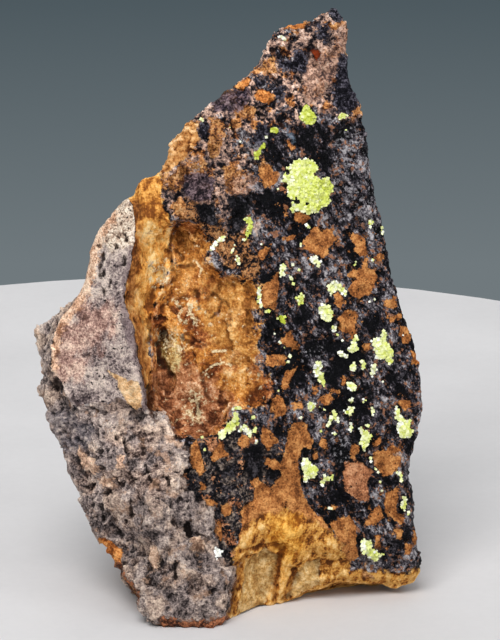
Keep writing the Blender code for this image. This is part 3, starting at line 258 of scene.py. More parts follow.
# Zones and patches of the face, by name. Each has a finish of its own, and some a relief; the last
# two are wide parts painted a little lighter or darker than the rest: painted light and painted shade.
PATCHES = {
    "plate": [PLATE],
    "wall": [WALL],
    "hollow": [HOLLOW],
    "rough": [ROUGH],
    "lump": [SIDE_LUMP],
    "foot": [FOOT],
    "granular": [GRANULAR],
    "mottled": [MOTTLED],
    "limonite": LIMONITE,
    "orange": [
        [(22.6, 34.8), (23.5, 34.8), (23.8, 33.2), (22.8, 33.2)],
        [(3.1, 66.9), (3.5, 67.5), (4.1, 67.6), (5.4, 67), (5.6, 66.2), (5, 65.8), (3.4, 66.2)],
        [(0.4, 67.9), (2.2, 69.2), (2.8, 68.9), (1.6, 67.5)],
        [(6.2, 75.5), (8.8, 76.1), (10, 76.4), (9.2, 75.5), (8.2, 75.1), (7.1, 75.1)],
        [(-16.4, 11.8), (-14.4, 10.9), (-13.4, 10), (-13.6, 8.8), (-14.1, 7.9), (-15.8, 9.2)],
    ],
    "red": [[(10.1, 72.5), (10.8, 72.6), (11.4, 72.1), (10.8, 71)]],
    "corner": [[
        (-10, 56.2), (-8.4, 56.8), (-7.5, 57.2), (-5.6, 59), (-3.9, 61.2), (-4.1, 63.1),
        (-4.8, 63.9), (-6.2, 64.4), (-10, 61.2),
    ]],
    "cream_tip": [[
        (-15.4, 32.4), (-14.1, 31.1), (-14, 30.2), (-13.2, 28.9), (-12.4, 27.6), (-11.8, 27.4),
        (-11.1, 27.7), (-11, 29.4), (-11.4, 31.1), (-12.8, 31.2), (-14.8, 32.2),
    ]],
    "cream": [
        [(-10, 45.6), (-8.1, 46), (-7.8, 43.8), (-9.4, 42.9)],
        [(-6.8, 41.2), (-4.5, 41), (-4.2, 38.5), (-6.2, 38.1)],
        [(-8.8, 36.9), (-6.2, 37.1), (-5.6, 35.2), (-7.5, 34.8)],
        [(-5, 29.6), (-3.8, 29.6), (-3.8, 28.1), (-5, 28.1)],
        [(-5.5, 27.8), (-3.8, 27.8), (-3.8, 26.2), (-5.2, 26.2)],
    ],
    "gold": [
        [(-3.1, 43.1), (0.6, 44), (3.4, 43.1), (3.4, 35.6), (1.9, 31.9), (-0.6, 33.1), (-3.1, 37.5)],
        # The second outline brightens the upper hollow: painted light.
        [(-7, 50), (-3.4, 50), (-2.6, 47), (-3, 42), (-6.6, 41.6), (-7.4, 44.4)],
    ],
    "rust": [[
        (-10, 31.9), (-7.5, 33.8), (-3.8, 32.5), (-0.6, 30), (0.2, 28.1), (-1, 25.6), (-3.1, 24.2),
        (-6.9, 24.4), (-9.8, 27.8),
    ]],
    "pink": [
        [(-21, 38.5), (-18.1, 39), (-16.9, 37.5), (-18.8, 35.2), (-21, 35.6)],
        [(-18.1, 40), (-15.6, 40.2), (-15.2, 37.5), (-16.2, 35.6), (-17.8, 36.2)],
        [(-22.2, 35.6), (-19.4, 35.9), (-19, 32.5), (-21.8, 31.8)],
    ],
    "vuggy": [[
        (-16.5, 53.2), (-12.5, 54.2), (-11.6, 51.9), (-11.8, 48.1), (-15, 47.5), (-16.8, 49.4),
    ]],
    "tan": [
        [(-18.8, 23.1), (-18, 21.9), (-16.9, 21.2), (-16.2, 20), (-16.9, 19.4), (-18.1, 20),
         (-19, 21.9)],
        [(-14.2, 21.8), (-13.2, 21.8), (-13.2, 20.2), (-14.2, 20.2)],
        [(-16.2, 19.4), (-14.4, 19), (-14.8, 17.8), (-16.2, 18)],
        [(-10.5, 9.4), (-10.1, 10.4), (-9.3, 10.5), (-8.8, 9.7), (-8.9, 8.6), (-9.3, 7.3),
         (-9.8, 7.8)],
        [(-5, 11.9), (-3.1, 11.5), (-3.2, 9.8), (-4.9, 10)],
    ],
    "purple": [
        [(-2.4, 66.2), (-0.6, 67.5), (2.5, 67.8), (2.5, 66.2), (1.2, 64.8), (-1.9, 64.8)],
        [(-5.6, 56.9), (-3.8, 57.2), (-1.9, 56.5), (-2.2, 53.8), (-5, 53.4), (-5.9, 55)],
    ],
    "ochre": [
        [(-2.6, 64), (-0.5, 63.8), (-0.8, 61.2), (-1.9, 58.8), (-2.8, 60)],
        [(0.2, 65.2), (2.2, 65.8), (3.2, 65), (3, 63.5), (1.2, 63.8)],
        [(-8.1, 56.2), (-6, 58.5), (-3.1, 58.8), (-3, 56.8), (-5, 55.8), (-7, 54.4)],
        [(-0.8, 58.2), (2, 57.5), (2.5, 55.8), (0.8, 53.5), (-0.6, 54.8)],
        [(4, 71), (5.5, 71.5), (5.8, 69.8), (4.2, 69.2)],
        [(4, 58.8), (5.2, 57.8), (5, 55.5), (3.5, 56)],
        [(-6.8, 53.8), (-5, 53), (-5.5, 51), (-7, 51.5)],
    ],
    "blush": [
        [(9.5, 71), (11.5, 72.5), (13.2, 73), (14.2, 76), (15, 75), (15, 73.2), (13.2, 69.8),
         (11.9, 67.2), (10.5, 65.8), (9, 66.5)],
        [(0.2, 56), (2.5, 57.2), (3.5, 56.2), (2, 53.8), (0.5, 54)],
        [(-5.2, 56.5), (-3, 56.2), (-2, 54.2), (-3, 52.5), (-4.8, 53.8)],
    ],
    "slate": [
        [(7.9, 72.6), (9.8, 72.2), (9.5, 69.6), (8.2, 70)],
        [(10.8, 75.9), (12.5, 75.5), (12.2, 73.4), (11, 73.8)],
        [(12.1, 77.7), (13.7, 78.2), (14.7, 76.6), (13.5, 75.8), (12.4, 76.2)],
        [(13.8, 72.2), (15, 71.5), (16, 65.8), (15, 64.2), (13.2, 64.8), (12.8, 67.2)],
        [(5.8, 71.2), (8.9, 71), (8.8, 70), (6, 70.2)],
        [(5.2, 68), (7, 67.8), (6.6, 66.2), (5.2, 66.5)],
        [(2.8, 69.5), (4.8, 69.2), (4.4, 68), (3, 68.2)],
        [(-4, 63.5), (-2.6, 63.2), (-2.9, 61.5), (-3.9, 61.8)],
        [(3.4, 63.5), (5, 62.8), (4, 60.2), (2.8, 61)],
    ],
    # Where the black coat is painted with a silvery sheen.
    "painted_sheen": [
        [(1, 60.4), (3.5, 60.2), (3.5, 55), (1.5, 55)],
        [(12.9, 60), (14.4, 63), (16.5, 62.5), (17.8, 56.2), (18.8, 49), (17.5, 48.2), (15, 53.1),
         (12.8, 56)],
        [(8.8, 35), (11.5, 35.6), (12.5, 32.2), (10.2, 31.2)],
        [(12.5, 24.8), (15.2, 24.2), (15, 21.2), (13, 21)],
        [(-5.5, 58.8), (-3.8, 59), (-3.8, 57.2), (-5.2, 57)],
    ],
    "burnt": [[
        (-5.6, 54), (-2.5, 53.1), (-0.2, 49.4), (1.9, 48.8), (3.5, 46.5), (3.8, 43.2), (1.9, 44.2),
        (-0.6, 45.8), (-2.1, 48.2), (-3.8, 50.5), (-5.5, 51),
    ]],
    "olive": [[(-8.8, 36.6), (-6.5, 36.9), (-6, 33.8), (-7.2, 31.6), (-8.4, 33.1)]],
    # Dark brown on the wall: partly a stain, partly painted shade where the wall is steep and under the
    # plate's edge.
    "umber_and_shade": [
        [(-13, 45.5), (-11.6, 45), (-11.6, 41), (-10.9, 38), (-10, 35.5), (-10, 27), (-11.3, 27.5),
         (-12, 33), (-12.8, 38), (-13.2, 41)],
        [(-12.8, 53.5), (-12.2, 53), (-11.8, 50), (-12.6, 45), (-12, 44), (-11.2, 47), (-10.9, 51),
         (-11.6, 53.4)],
    ],
    "rosy": [
        [(13.8, 21.2), (18.2, 21.2), (18, 15.6), (13.8, 16)],
        [(5.8, 55.8), (7.2, 55.8), (7.2, 52.5), (6.2, 52.8)],
    ],
    "peak": [[(12, 76), (12.8, 79), (15, 79), (15.6, 75.6), (14, 74.6)]],
    "foliated": [[
        (-23, 27.2), (-19.8, 27.5), (-17.2, 25.2), (-17.5, 23), (-20, 22.2), (-22.2, 23.8),
    ]],
    "pitch": [
        [(1.6, 22.9), (4, 23.2), (4.2, 21), (4, 19), (2.5, 18.8), (1.6, 20)],
        [(4.4, 21.9), (6.6, 21.9), (6.4, 19.6), (5.6, 18.6), (4.6, 18.9)],
        [(-0.8, 20.6), (0.6, 20.6), (0.6, 19.4), (-0.8, 19.4)],
        [(-4.4, 53.4), (-1.9, 53.4), (-1.5, 50.6), (-3.8, 51)],
        [(-0.2, 54.4), (2.5, 54.4), (2.5, 52.5), (1.2, 49.4), (0, 49.8)],
        [(-5.4, 63.4), (-4.4, 63.2), (-4.4, 61.6), (-5.4, 61.8)],
    ],
    "scoop": [
        [(2.1, 8.8), (4.4, 10.2), (6, 9.4), (5.2, 5), (4, 2.5), (2.5, 1.2), (0.8, 1.2), (1.5, 5)],
        [(8.4, 7.2), (9.4, 8.4), (11.2, 8.8), (11.2, 5.6), (8.8, 4.6), (7.2, 3.8)],
    ],
    "honey": [[(4.8, 14.4), (8.8, 14.4), (9.4, 10.6), (8.2, 8.5), (6.2, 8.8), (4.8, 10.6)]],
    # Painted light: the upper hollow, the top and the upper grey mass.
    "lighter": [
        [(-7, 50), (-3.4, 50), (-2.6, 47), (-3, 42), (-6.6, 41.6), (-7.4, 44.4)],
        [(-3, 63), (13, 64), (14, 70), (4, 72)],
        [(-21, 26), (-6, 26), (-7, 17), (-18, 17)],
    ],
    # Painted shade: the lower grey mass, a brown strip in the middle and the lower right.
    "darker": [
        [(-12.5, 15.5), (-6, 15.5), (-6, 20), (-4, 19.5), (-1, 15), (-0.6, 4), (-3, -1), (-9, -1),
         (-13, 6)],
        [(5.4, 26), (9.6, 26), (9.6, 15.5), (5.4, 15.5)],
        [(13.5, 22.5), (23, 22.5), (24, 8.5), (13.5, 8.5)],
    ],
}

# Lines on the face, by name: each a path and its half width.
LINES = {
    # Painted shade along the plate's right edge, which faces away from the light.
    "edge_shade": [
        ([(-12, 51.8), (-12, 48.8), (-12.6, 45), (-13.1, 41.2), (-12.8, 38.8), (-11.8, 35.6),
          (-11, 32.5), (-10.4, 29.4), (-10.5, 27.2)], 0.5),
    ],
    # Narrow pockets by the wall: cut into the rock, and painted dark as shade.
    "deep": [
        ([(-9.1, 35.8), (-8.9, 34.2), (-8.2, 32.9), (-7.5, 31.8)], 0.22),
        ([(-10, 30.2), (-9.9, 28.5), (-9.5, 27)], 0.25),
        ([(-8.3, 37.4), (-8.4, 36.6)], 0.25),
    ],
    "crack": [
        ([(-6.5, 50.6), (-7.1, 49.4), (-7.5, 47.8), (-7.4, 46.1), (-7.2, 45.1)], 0.14),
        ([(-7.2, 45.8), (-6.2, 45.5), (-4.2, 45.6)], 0.14),
        ([(-4.2, 42.5), (-3.8, 40.1)], 0.1),
        ([(-3.4, 42.4), (-2.8, 41.4)], 0.1),
        ([(-6.4, 36.8), (-5.0, 35.9), (-3.8, 35.4)], 0.12),
        ([(-3.6, 32.1), (-3.0, 29.4), (-2.2, 28.5), (-0.6, 28.4)], 0.12),
        ([(-10.2, 38.7), (-9.9, 37.2), (-10.1, 36.1)], 0.22),
        ([(-9.6, 29.6), (-9.9, 27.6), (-9.2, 26.2)], 0.2),
        ([(-3.1, 41.5), (-2, 42.2), (-1, 41.2), (-1.5, 39.8), (-2.5, 39)], 0.08),
        ([(-6.5, 36.8), (-5.2, 37), (-4.2, 36), (-3, 35.5)], 0.1),
        ([(-0.5, 41.2), (0.2, 39.8), (0, 38)], 0.08),
    ],
    "groove": [
        ([(6.5, 10.2), (6.2, 8.8), (5.5, 5.0), (5.8, 2.8)], 0.28),
        ([(8.1, 7.5), (7.6, 4.9), (6.8, 3.8)], 0.25),
        ([(1.6, 9.8), (4.2, 10.6), (5.6, 10.7), (6.2, 10.2)], 0.16),
        ([(2.1, 9.6), (1.2, 7.5), (0.2, 2.2)], 0.3),
        ([(4.0, 3.1), (2.8, 1.2)], 0.2),
    ],
    # Ridges: they stand a little proud, and their edge is a painted highlight.
    "ridge": [
        ([(7.4, 38.8), (7.9, 38.1), (8.4, 37.2), (8.8, 36), (9.1, 34.8), (10.1, 33.5)], 0.04),
        ([(1.6, 53.8), (2.4, 52.8), (2.9, 51.2), (3.2, 49.8), (3.5, 48.8)], 0.06),
    ],
    # A painted highlight on a bright grey bevel.
    "bevel_highlight": [([(6.9, 63.1), (7.4, 62.2), (8.0, 61)], 0.22)],
    "peach": [
        ([(-15.2, 51.8), (-16.3, 50.7), (-17.1, 48.8), (-17.7, 46), (-18.2, 43.6), (-19.4, 41.1)], 1.1),
        ([(-20, 40.1), (-21.2, 38.5), (-22, 36.6), (-22.3, 34.4), (-22.3, 32.8)], 0.7),
    ],
    # Pits: cut into the rock, and painted dark as shade.
    "shaded_pit": [
        ([(-15.9, 46.9), (-16.1, 46)], 0.14),
        ([(-16.2, 45.8), (-16.4, 44.6), (-16.3, 44.2)], 0.13),
        ([(-15.8, 44.9), (-16, 44.4)], 0.1),
        ([(-15, 43.6), (-15.2, 43)], 0.12),
        ([(-16, 42.4), (-15.9, 41.9)], 0.12),
        ([(-13.3, 46.8), (-13.4, 45.6)], 0.12),
        ([(-13.2, 49.4), (-13.1, 48.8)], 0.14),
        ([(-14.4, 48.2), (-14.1, 47.8)], 0.12),
        ([(-16.8, 48.2), (-16.5, 48)], 0.12),
        ([(-21.7, 31.2), (-21.4, 30.2)], 0.35),
        ([(-16.1, 22.4), (-16, 22.2)], 0.22),
        ([(-13.1, 23.8), (-12.8, 21.8)], 0.16),
        ([(-15.6, 17.1), (-15.2, 17.2)], 0.32),
        ([(-12.4, 16.2), (-12.4, 14)], 0.14),
        ([(-16.1, 15.6), (-15.9, 13.8)], 0.16),
        ([(-10.5, 20.5), (-10, 18.5)], 0.16),
        ([(-7.8, 19), (-7.6, 18.1)], 0.16),
        ([(-17.8, 17.9), (-16.9, 18.2)], 0.16),
        ([(-5.4, 13.1), (-5.2, 12.2)], 0.3),
        ([(-6.9, 8), (-6.8, 6.4)], 0.22),
        ([(11.8, 9.5), (11.9, 9.2)], 0.14),
    ],
    "vein": [
        ([(-3.4, 32.2), (-2.2, 33), (-0.8, 33.5), (0.2, 33)], 0.12),
        ([(-2.1, 34.8), (-0.5, 35)], 0.14),
        ([(-4.4, 29.4), (-4.1, 28.1), (-3.9, 26.2)], 0.12),
        ([(-4.1, 46), (-3.5, 45.2), (-3.9, 44.1)], 0.12),
    ],
    "ember": [
        ([(-14.1, 8.1), (-13, 6.6), (-12.2, 5.2), (-11.5, 3.5)], 0.3),
        ([(-8.1, 1), (-5.6, 0.4), (-2.5, 0.6), (-0.5, 1.2)], 0.7),
    ],
}

# Outlines of the crystal crusts, as in the part's source.
CRUSTS = {
    "autunite_rosette": [
        (8.1, 59), (8.8, 58.8), (9.5, 59), (10.1, 58.8), (10.9, 58.4), (10.9, 57.5), (11, 56.8),
        (11.4, 56.4), (11.9, 56.8), (12.4, 56.5), (12.9, 55.6), (12.9, 54.9), (12.4, 54.4),
        (12.6, 53.8), (12.2, 53), (11.5, 52.9), (11.2, 52.4), (10.5, 52.2), (10, 51.9),
        (9.1, 52.2), (8.2, 52.4), (7.7, 51.8), (7.5, 52.6), (7.7, 53.5), (7.1, 54.2), (7.2, 54.9),
        (7.1, 55.8), (6.5, 56.1), (6.6, 56.9), (6.8, 57.6), (7.4, 58.1), (7.9, 58.5),
    ],
    "autunite_tip": [(5.8, 74.4), (6.8, 74.3), (7.4, 73.5), (6.4, 73.7)],
    "autunite_upper_1": [
        (9.5, 65.8), (10.1, 65.2), (10.8, 64.5), (10.8, 64), (10.5, 63.1), (9.9, 63),
        (8.9, 63.6), (8.5, 63.9), (8.9, 64.9),
    ],
    "autunite_upper_2": [(13.2, 64.1), (13.9, 64.8), (14.8, 64.4), (14.1, 63.8), (13.4, 63.8)],
    "autunite_upper_3": [(5, 62.9), (5.8, 63), (6.1, 62.1), (4.9, 62.1)],
    "autunite_upper_4": [
        (4.4, 61.5), (4, 60.6), (3.5, 60), (2.9, 59.5), (3.1, 58.8), (3.6, 58.5), (3.9, 59.8),
        (4.6, 60.8),
    ],
    "autunite_upper_5": [
        (2.2, 52), (1.6, 51.1), (2.1, 50.7), (2.1, 49.9), (1.6, 48.8), (2.1, 48.3), (2.5, 49.4),
        (2.9, 50.1), (2.9, 51.1),
    ],
    "autunite_left_1": [
        (-0.6, 49.5), (-0.3, 49.1), (-1.1, 48.5), (-2, 47.7), (-2.4, 47.1), (-2.8, 47.2),
        (-2, 48.5),
    ],
    "autunite_left_2": [(0.9, 47.1), (1.3, 46.5), (1.4, 45.9), (1, 45.6), (0.6, 46.1)],
    "autunite_left_3": [(3.6, 43.6), (4, 41.9), (4, 39.8), (3.4, 41.2), (3.3, 42.1)],
    "autunite_left_4": [(5.4, 39.2), (7.1, 39.4), (6.8, 38.1), (5.9, 38.8)],
    "autunite_left_5": [
        (1.1, 27.2), (0.5, 27.1), (0.2, 26.3), (-0.5, 25.4), (-1.8, 24.3), (-1.1, 23.8),
        (-0.5, 24.1), (-0.1, 24.6), (0.6, 24.9), (1.1, 25.8), (1.2, 26.5),
    ],
    "autunite_left_6": [
        (0.9, 25), (1.4, 25.6), (2.1, 25.7), (2.5, 25.1), (2.8, 24.5), (2.5, 23.8), (2.1, 24.7),
        (1.6, 25), (1.3, 24.5),
    ],
    "autunite_left_7": [(2.5, 26.8), (3.2, 27.1), (2.9, 26.3), (2.2, 25.8)],
    "autunite_middle_1": [
        (10.5, 46.9), (9.9, 46.4), (10.2, 45.8), (10.8, 45.8), (11, 45.3), (11.5, 45.7),
        (11.4, 46), (11, 46.6),
    ],
    "autunite_middle_2": [
        (6.2, 45.5), (6.8, 45.8), (7.1, 45.4), (6.8, 44.2), (6.2, 44.1), (6.1, 44.9),
    ],
    "autunite_middle_3": [
        (13, 43.9), (12.3, 43.2), (12.1, 42.4), (12.6, 41.8), (13.1, 42.2), (13.8, 42.2),
        (14.5, 41.5), (14.6, 42.3), (14.2, 42.9), (13.4, 43.7),
    ],
    "autunite_middle_4": [
        (11.7, 41), (11.1, 40.5), (10.9, 39.8), (11.4, 39), (11.9, 38.5), (12.5, 38.5),
        (12.8, 39.1), (13, 39.9), (12.6, 40.5),
    ],
    "autunite_middle_5": [
        (8.1, 41.5), (8.7, 42.1), (9.2, 42), (9.3, 41.2), (9, 40.6), (8.5, 40.4), (8.3, 41),
    ],
    "autunite_middle_6": [
        (12.9, 38.2), (13.3, 37.9), (13.2, 37.4), (13.7, 36.6), (12.9, 37.1), (12.6, 37.6),
    ],
    "autunite_middle_7": [
        (16, 37.5), (16.1, 36.2), (15.6, 35.8), (16.4, 35), (15, 34.6), (14.6, 35.1),
        (15.2, 36), (15.6, 36.8),
    ],
    "autunite_middle_8": [(13.2, 34.5), (13.8, 35), (15, 34.1), (14.6, 33.8), (13.9, 34.2)],
    "autunite_middle_9": [
        (10.8, 33.6), (10.4, 32.7), (10.5, 32), (11, 31.4), (11.3, 30.7), (11.8, 30.2),
        (12, 31.2), (11.7, 32), (11.3, 32.3), (11.5, 33), (11.3, 33.5),
    ],
    "autunite_middle_10": [
        (14.6, 31.2), (14.5, 30.4), (15.3, 29.7), (15.8, 30.1), (15.9, 30.7),
    ],
    "autunite_middle_11": [
        (9.5, 28.4), (10.1, 28.5), (11, 28.2), (10.7, 27.8), (10.2, 27.2), (9.7, 27.6),
    ],
    "autunite_middle_12": [
        (14.2, 27.4), (15.1, 28.1), (15.5, 27.9), (15.4, 27.3), (15.2, 26.7), (14.7, 26.9),
    ],
    "autunite_middle_13": [
        (12.9, 28), (13.2, 27), (13.7, 26.3), (13.6, 25.8), (13, 26.4), (12.3, 25.2),
        (11.9, 25.3), (12.3, 26.4), (12.7, 27),
    ],
    "autunite_middle_14": [(14.8, 28.9), (15.1, 29.2), (15.6, 29), (15.5, 28.5), (15.1, 28.2)],
    "autunite_right_1": [
        (19, 37.5), (18.8, 36.6), (17.5, 36.3), (17.8, 35.5), (18.1, 34.8), (18.1, 34.1),
        (18.6, 33.8), (19.3, 33.7), (20, 33), (20.5, 33.6), (20.3, 34.1), (20.5, 34.8), (20, 35.6),
        (19.6, 36), (19.8, 36.9), (19.3, 37.4),
    ],
    "autunite_right_2": [
        (18.2, 33.4), (17.6, 33.3), (17.8, 32.8), (17.5, 32.1), (17.8, 31.5), (18.3, 32.4),
    ],
    "autunite_right_3": [(16.2, 33.6), (16.8, 33.8), (17, 33), (16.8, 32.2), (16.4, 32.8)],
    "autunite_right_4": [
        (15.9, 25.4), (16.4, 25.5), (17.1, 25), (17.7, 24.4), (17.7, 23.8), (17.2, 23),
        (16.9, 22.2), (16.6, 22.3), (16.4, 22.9), (16, 23.5), (16.4, 23.9), (16.3, 24.5),
    ],
    "autunite_right_5": [
        (20.7, 28.2), (20.5, 27.4), (20.6, 26.5), (21, 26), (20.8, 25.5), (21, 24.2),
        (21.5, 23.9), (22.6, 24.1), (23, 24.8), (22.6, 25.3), (22.8, 26.2), (21.9, 26.3),
        (21.5, 26.8), (21.3, 27.5),
    ],
    "autunite_right_6": [
        (20.5, 19.6), (20.9, 20), (21.4, 19.7), (21.7, 18.7), (21.4, 18.4), (21.1, 19.2),
    ],
    "autunite_right_7": [
        (21.6, 16.8), (21.5, 16), (21.3, 15.4), (21.8, 14.7), (22.2, 15.7), (22, 16.7),
    ],
    "autunite_lower_1": [
        (9.2, 21.6), (9.8, 21.5), (10.2, 20.8), (11.1, 20.3), (11.1, 19.9), (10.6, 19.1),
        (9.9, 18.8), (9.4, 18.4), (9.1, 19.2), (8.8, 20.6),
    ],
    "autunite_lower_2": [
        (11.8, 19.7), (11.6, 19.1), (11.2, 18.7), (11.4, 18.1), (11.7, 18), (12, 18.5),
        (12.5, 18.6), (13, 18.9), (13, 19.4), (12.2, 19.2),
    ],
    "autunite_lower_3": [
        (16.2, 11.4), (17.2, 11.4), (17.8, 11.1), (17.8, 10.4), (18.4, 9.8), (19.5, 9.5),
        (18.7, 9.1), (18.1, 8.4), (17.3, 9.1), (16.2, 10), (16.4, 10.8),
    ],
}

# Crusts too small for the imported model.
SMALL_CRUSTS = [
    [(9.2, 50.6), (9.6, 50.8), (10.2, 50.4), (10, 50.1)],
    [(8.5, 48.2), (8.8, 48.8), (9, 48.4), (8.9, 47.9)],
    [(7.6, 45.8), (8, 46.2), (8.2, 45.8), (7.9, 45.4)],
    [(15.2, 45.6), (15.5, 46.1), (16, 46), (15.6, 45.2)],
    [(17.2, 51), (17.5, 51.4), (18, 51), (17.5, 50)],
    [(5, 36.8), (5.4, 37.1), (5.8, 36.9), (5.4, 36.5)],
    [(15, 33.2), (15.6, 33.5), (15.9, 32.9), (15.4, 32.2), (14.9, 32.5)],
    [(16.4, 28.7), (16.8, 29), (17.5, 28.9), (16.6, 28.3)],
    [(12.9, 25.3), (12.8, 24.6), (13.1, 24.1), (13.5, 24.3)],
    [(22.1, 14.8), (22.6, 14.8), (22.6, 14.3), (22.2, 14.2)],
    [(0.2, 27.5), (0.7, 28.1), (1.7, 27.6), (0.9, 27.4)],
    [(3, 23.9), (3.5, 24), (3.6, 23.6), (3.3, 23.2)],
]
# Thin lines of crystals, and single flecks.
THREADS = [
    [(7.4, 44.4), (7.8, 43.6), (8, 43.1)],
    [(19, 49.2), (18.9, 50), (19.1, 50.4)],
    [(6.1, 36.1), (6.9, 35.1), (6.5, 34.9)],
    [(13.8, 36.1), (14.4, 36.2)],
    [(11.2, 28), (12, 27.5), (11.6, 27.4)],
    [(17.4, 27.5), (17.9, 27.9), (17.8, 26.9)],
    [(15, 25.9), (15.2, 25.5), (15, 24.8)],
    [(17.5, 22.2), (17.6, 21), (18, 20.4), (18.7, 19.3)],
    [(2.8, 25.3), (3.2, 25.3), (2.9, 24.4)],
    [(4.8, 62.1), (4.4, 61.5)],
    [(0.4, 48.2), (0.5, 47.6), (0.1, 46.9)],
]
FLECKS = [
    (5.9, 72.9), (14.5, 62.5), (0, 62.8), (-3.6, 63.8), (-4.2, 62.4), (1.2, 60.9), (5.9, 55.2),
    (3.8, 49.5), (4, 48.2), (8.5, 45), (17.8, 46.2), (7.4, 34.2), (7.1, 33.5), (12.4, 36.2),
    (19, 31), (11.2, 24.8), (17.2, 25.6), (18.8, 18.5), (18.9, 17.4), (-3.5, 24), (-3.1, 22.6),
    (6, 29.8), (8.8, 26.6), (21.1, 38), (21.6, 36.8), (17.5, 41.1), (18, 41.2), (15.6, 44.1),
    (19, 49.6), (4.6, 39.9), (6.5, 35.5), (12.4, 15.2),
]
# A small white crystal on the grey mass.
WHITE_SPOT = [
    (-2.1, 10), (-1.8, 10.4), (-1.3, 10.2), (-0.9, 9.9), (-1.1, 9.5), (-0.9, 9.1), (-1.4, 9),
    (-1.7, 8.7), (-2, 9.2),
]
# Small gaps in the crusts, where dark rock shows: a place and a radius.
CRUST_GAPS = [((7.2, 57.2), 0.26), ((8.3, 53.6), 0.3), ((9.6, 53.3), 0.16), ((10.6, 56.9), 0.14)]
# How green each crust is: 0 is nearly white and 1 is bright yellow-green.
GREENNESS = {
    "autunite_rosette": 0.6, "autunite_upper_1": 0.8, "autunite_upper_3": 1.1,
    "autunite_upper_4": 1.1, "autunite_upper_5": 0.85, "autunite_left_1": 0.3,
    "autunite_left_4": 1.1, "autunite_left_6": 0.4, "autunite_tip": 0.3,
    "autunite_middle_1": 0.3, "autunite_middle_3": 0.4, "autunite_middle_4": 0.45,
    "autunite_middle_5": 0.75, "autunite_lower_3": 0.45,
}
PLAIN_GREENNESS = 0.48
FLECK_GREENNESS = 0.5
WHITE_GREENNESS = -0.8
# How much single tablets differ in green, how much paler they get towards a crust's edge and over
# what width, and how much greener the right of a crust is than its left: painted light on the left.
GREEN_SPREAD = 0.16
EDGE_PALING = 1.2
EDGE_WIDTH = 0.3
PAINTED_SIDE_LIGHT = 0.35

# The tablets: their spacing and its jitter, their sides, their thickness for a side of 1, how much
# that differs, their bevel, their tilt and how much they face the front more than the skin does.
TABLET_SPACING = 0.27
TABLET_JITTER = 0.35
TABLET_SIDES = (0.2, 0.5)
TABLET_THICKNESS = 0.11
TABLET_THICKENING = (0.8, 1.4)
TABLET_BEVEL = 0.045
TABLET_TILT = math.radians(26.0)
TABLET_FACING = 1.2
# The sheet under them: its height over the skin, its full thickness counted in that height, where
# it starts inside the outline, and the share of its height there and how far in it is full.
CRUST_THICKNESS = 0.12
SHEET_DEPTH = 1.7
SHEET_INSET = 0.04
SHEET_THINNEST = 0.45
SHEET_EDGE = 0.4
# How high over the skin the tablets stand, counted in the sheet's height. Near the edge some are
# left out by chance, and they grow larger by this much a millimetre further in.
TABLET_LIFT = (0.5, 1.9)
EDGE_THINNING = 0.14
EDGE_GROWTH = 1.5
# Half the width of a thread, and the size of a fleck, how uneven it is and its corners.
THREAD_HALF_WIDTH = 0.16
FLECK_SIZES = (0.16, 0.3)
FLECK_UNEVENNESS = (0.7, 1.2)
FLECK_CORNERS = 6
# Seeds of the random draws for the flecks' outlines, the small crusts and the white crystal.
FLECK_SHAPES_SEED = 500
FLECK_CRUSTS_SEED = 501
WHITE_SEED = 502


def to_world(points, depth):
    """World place, in metres, of points seen on the face and lying at a depth."""
    points = np.asarray(points, float)
    spread = 1.0 + depth / VIEW_DISTANCE
    u = VIEW_CENTRE[0] + (points[..., 0] - VIEW_CENTRE[0]) * spread
    w = VIEW_CENTRE[1] + (points[..., 1] - VIEW_CENTRE[1]) * spread
    x = u - ORIGIN[0]
    y = w * math.sin(LEAN) + depth * math.cos(LEAN) - ORIGIN[1]
    z = w * math.cos(LEAN) - depth * math.sin(LEAN) - FLOOR_CUT
    return np.stack((x, y, z), axis=-1) / METRE


def from_world(places):
    """Where on the face, as u and w, places of the world in metres are seen."""
    lifted = places * METRE + np.array((ORIGIN[0], ORIGIN[1], FLOOR_CUT))
    w = lifted[:, 1] * math.sin(LEAN) + lifted[:, 2] * math.cos(LEAN)
    depth = lifted[:, 1] * math.cos(LEAN) - lifted[:, 2] * math.sin(LEAN)
    real = np.column_stack((lifted[:, 0], w))
    middle = np.array(VIEW_CENTRE)
    return middle + (real - middle) / (1.0 + depth / VIEW_DISTANCE)[:, None]


EYE = Vector(to_world(VIEW_CENTRE, -VIEW_DISTANCE))
AIM = Vector(to_world(VIEW_CENTRE, 0.0))
TOWARDS_EYE = (EYE - AIM).normalized()


def fade(value, start, end):
    """Smooth step from 0 at start to 1 at end."""
    s = np.clip((value - start) / (end - start), 0.0, 1.0)
    return s * s * (3.0 - 2.0 * s)


def distance_to_path(points, path):
    """Distance from each point to the nearest part of an open path."""
    path = np.array(path, float)
    best = np.full(len(points), np.inf)
    for a, b in zip(path[:-1], path[1:]):
        along = b - a
        share = np.clip((points - a) @ along / (along @ along), 0.0, 1.0)
        best = np.minimum(best, np.linalg.norm(points - a - share[:, None] * along, axis=1))
    return best


def inset(points, outline):
    """How far each point lies inside a closed outline; outside it is negative."""
    ring = np.array(list(outline) + [outline[0]], float)
    inside = np.zeros(len(points), bool)
    for (x0, y0), (x1, y1) in zip(ring[:-1], ring[1:]):
        if y0 != y1:
            spans = (y0 > points[:, 1]) != (y1 > points[:, 1])
            inside ^= spans & (points[:, 0] < x0 + (points[:, 1] - y0) * (x1 - x0) / (y1 - y0))
    distance = distance_to_path(points, ring)
    return np.where(inside, distance, -distance)


def near(points, path):
    """Which points are near enough to a path or an outline for it to matter."""
    ring = np.array(path, float)
    low = ring.min(axis=0) - ZONE_REACH
    high = ring.max(axis=0) + ZONE_REACH
    return np.all((points > low) & (points < high), axis=1)


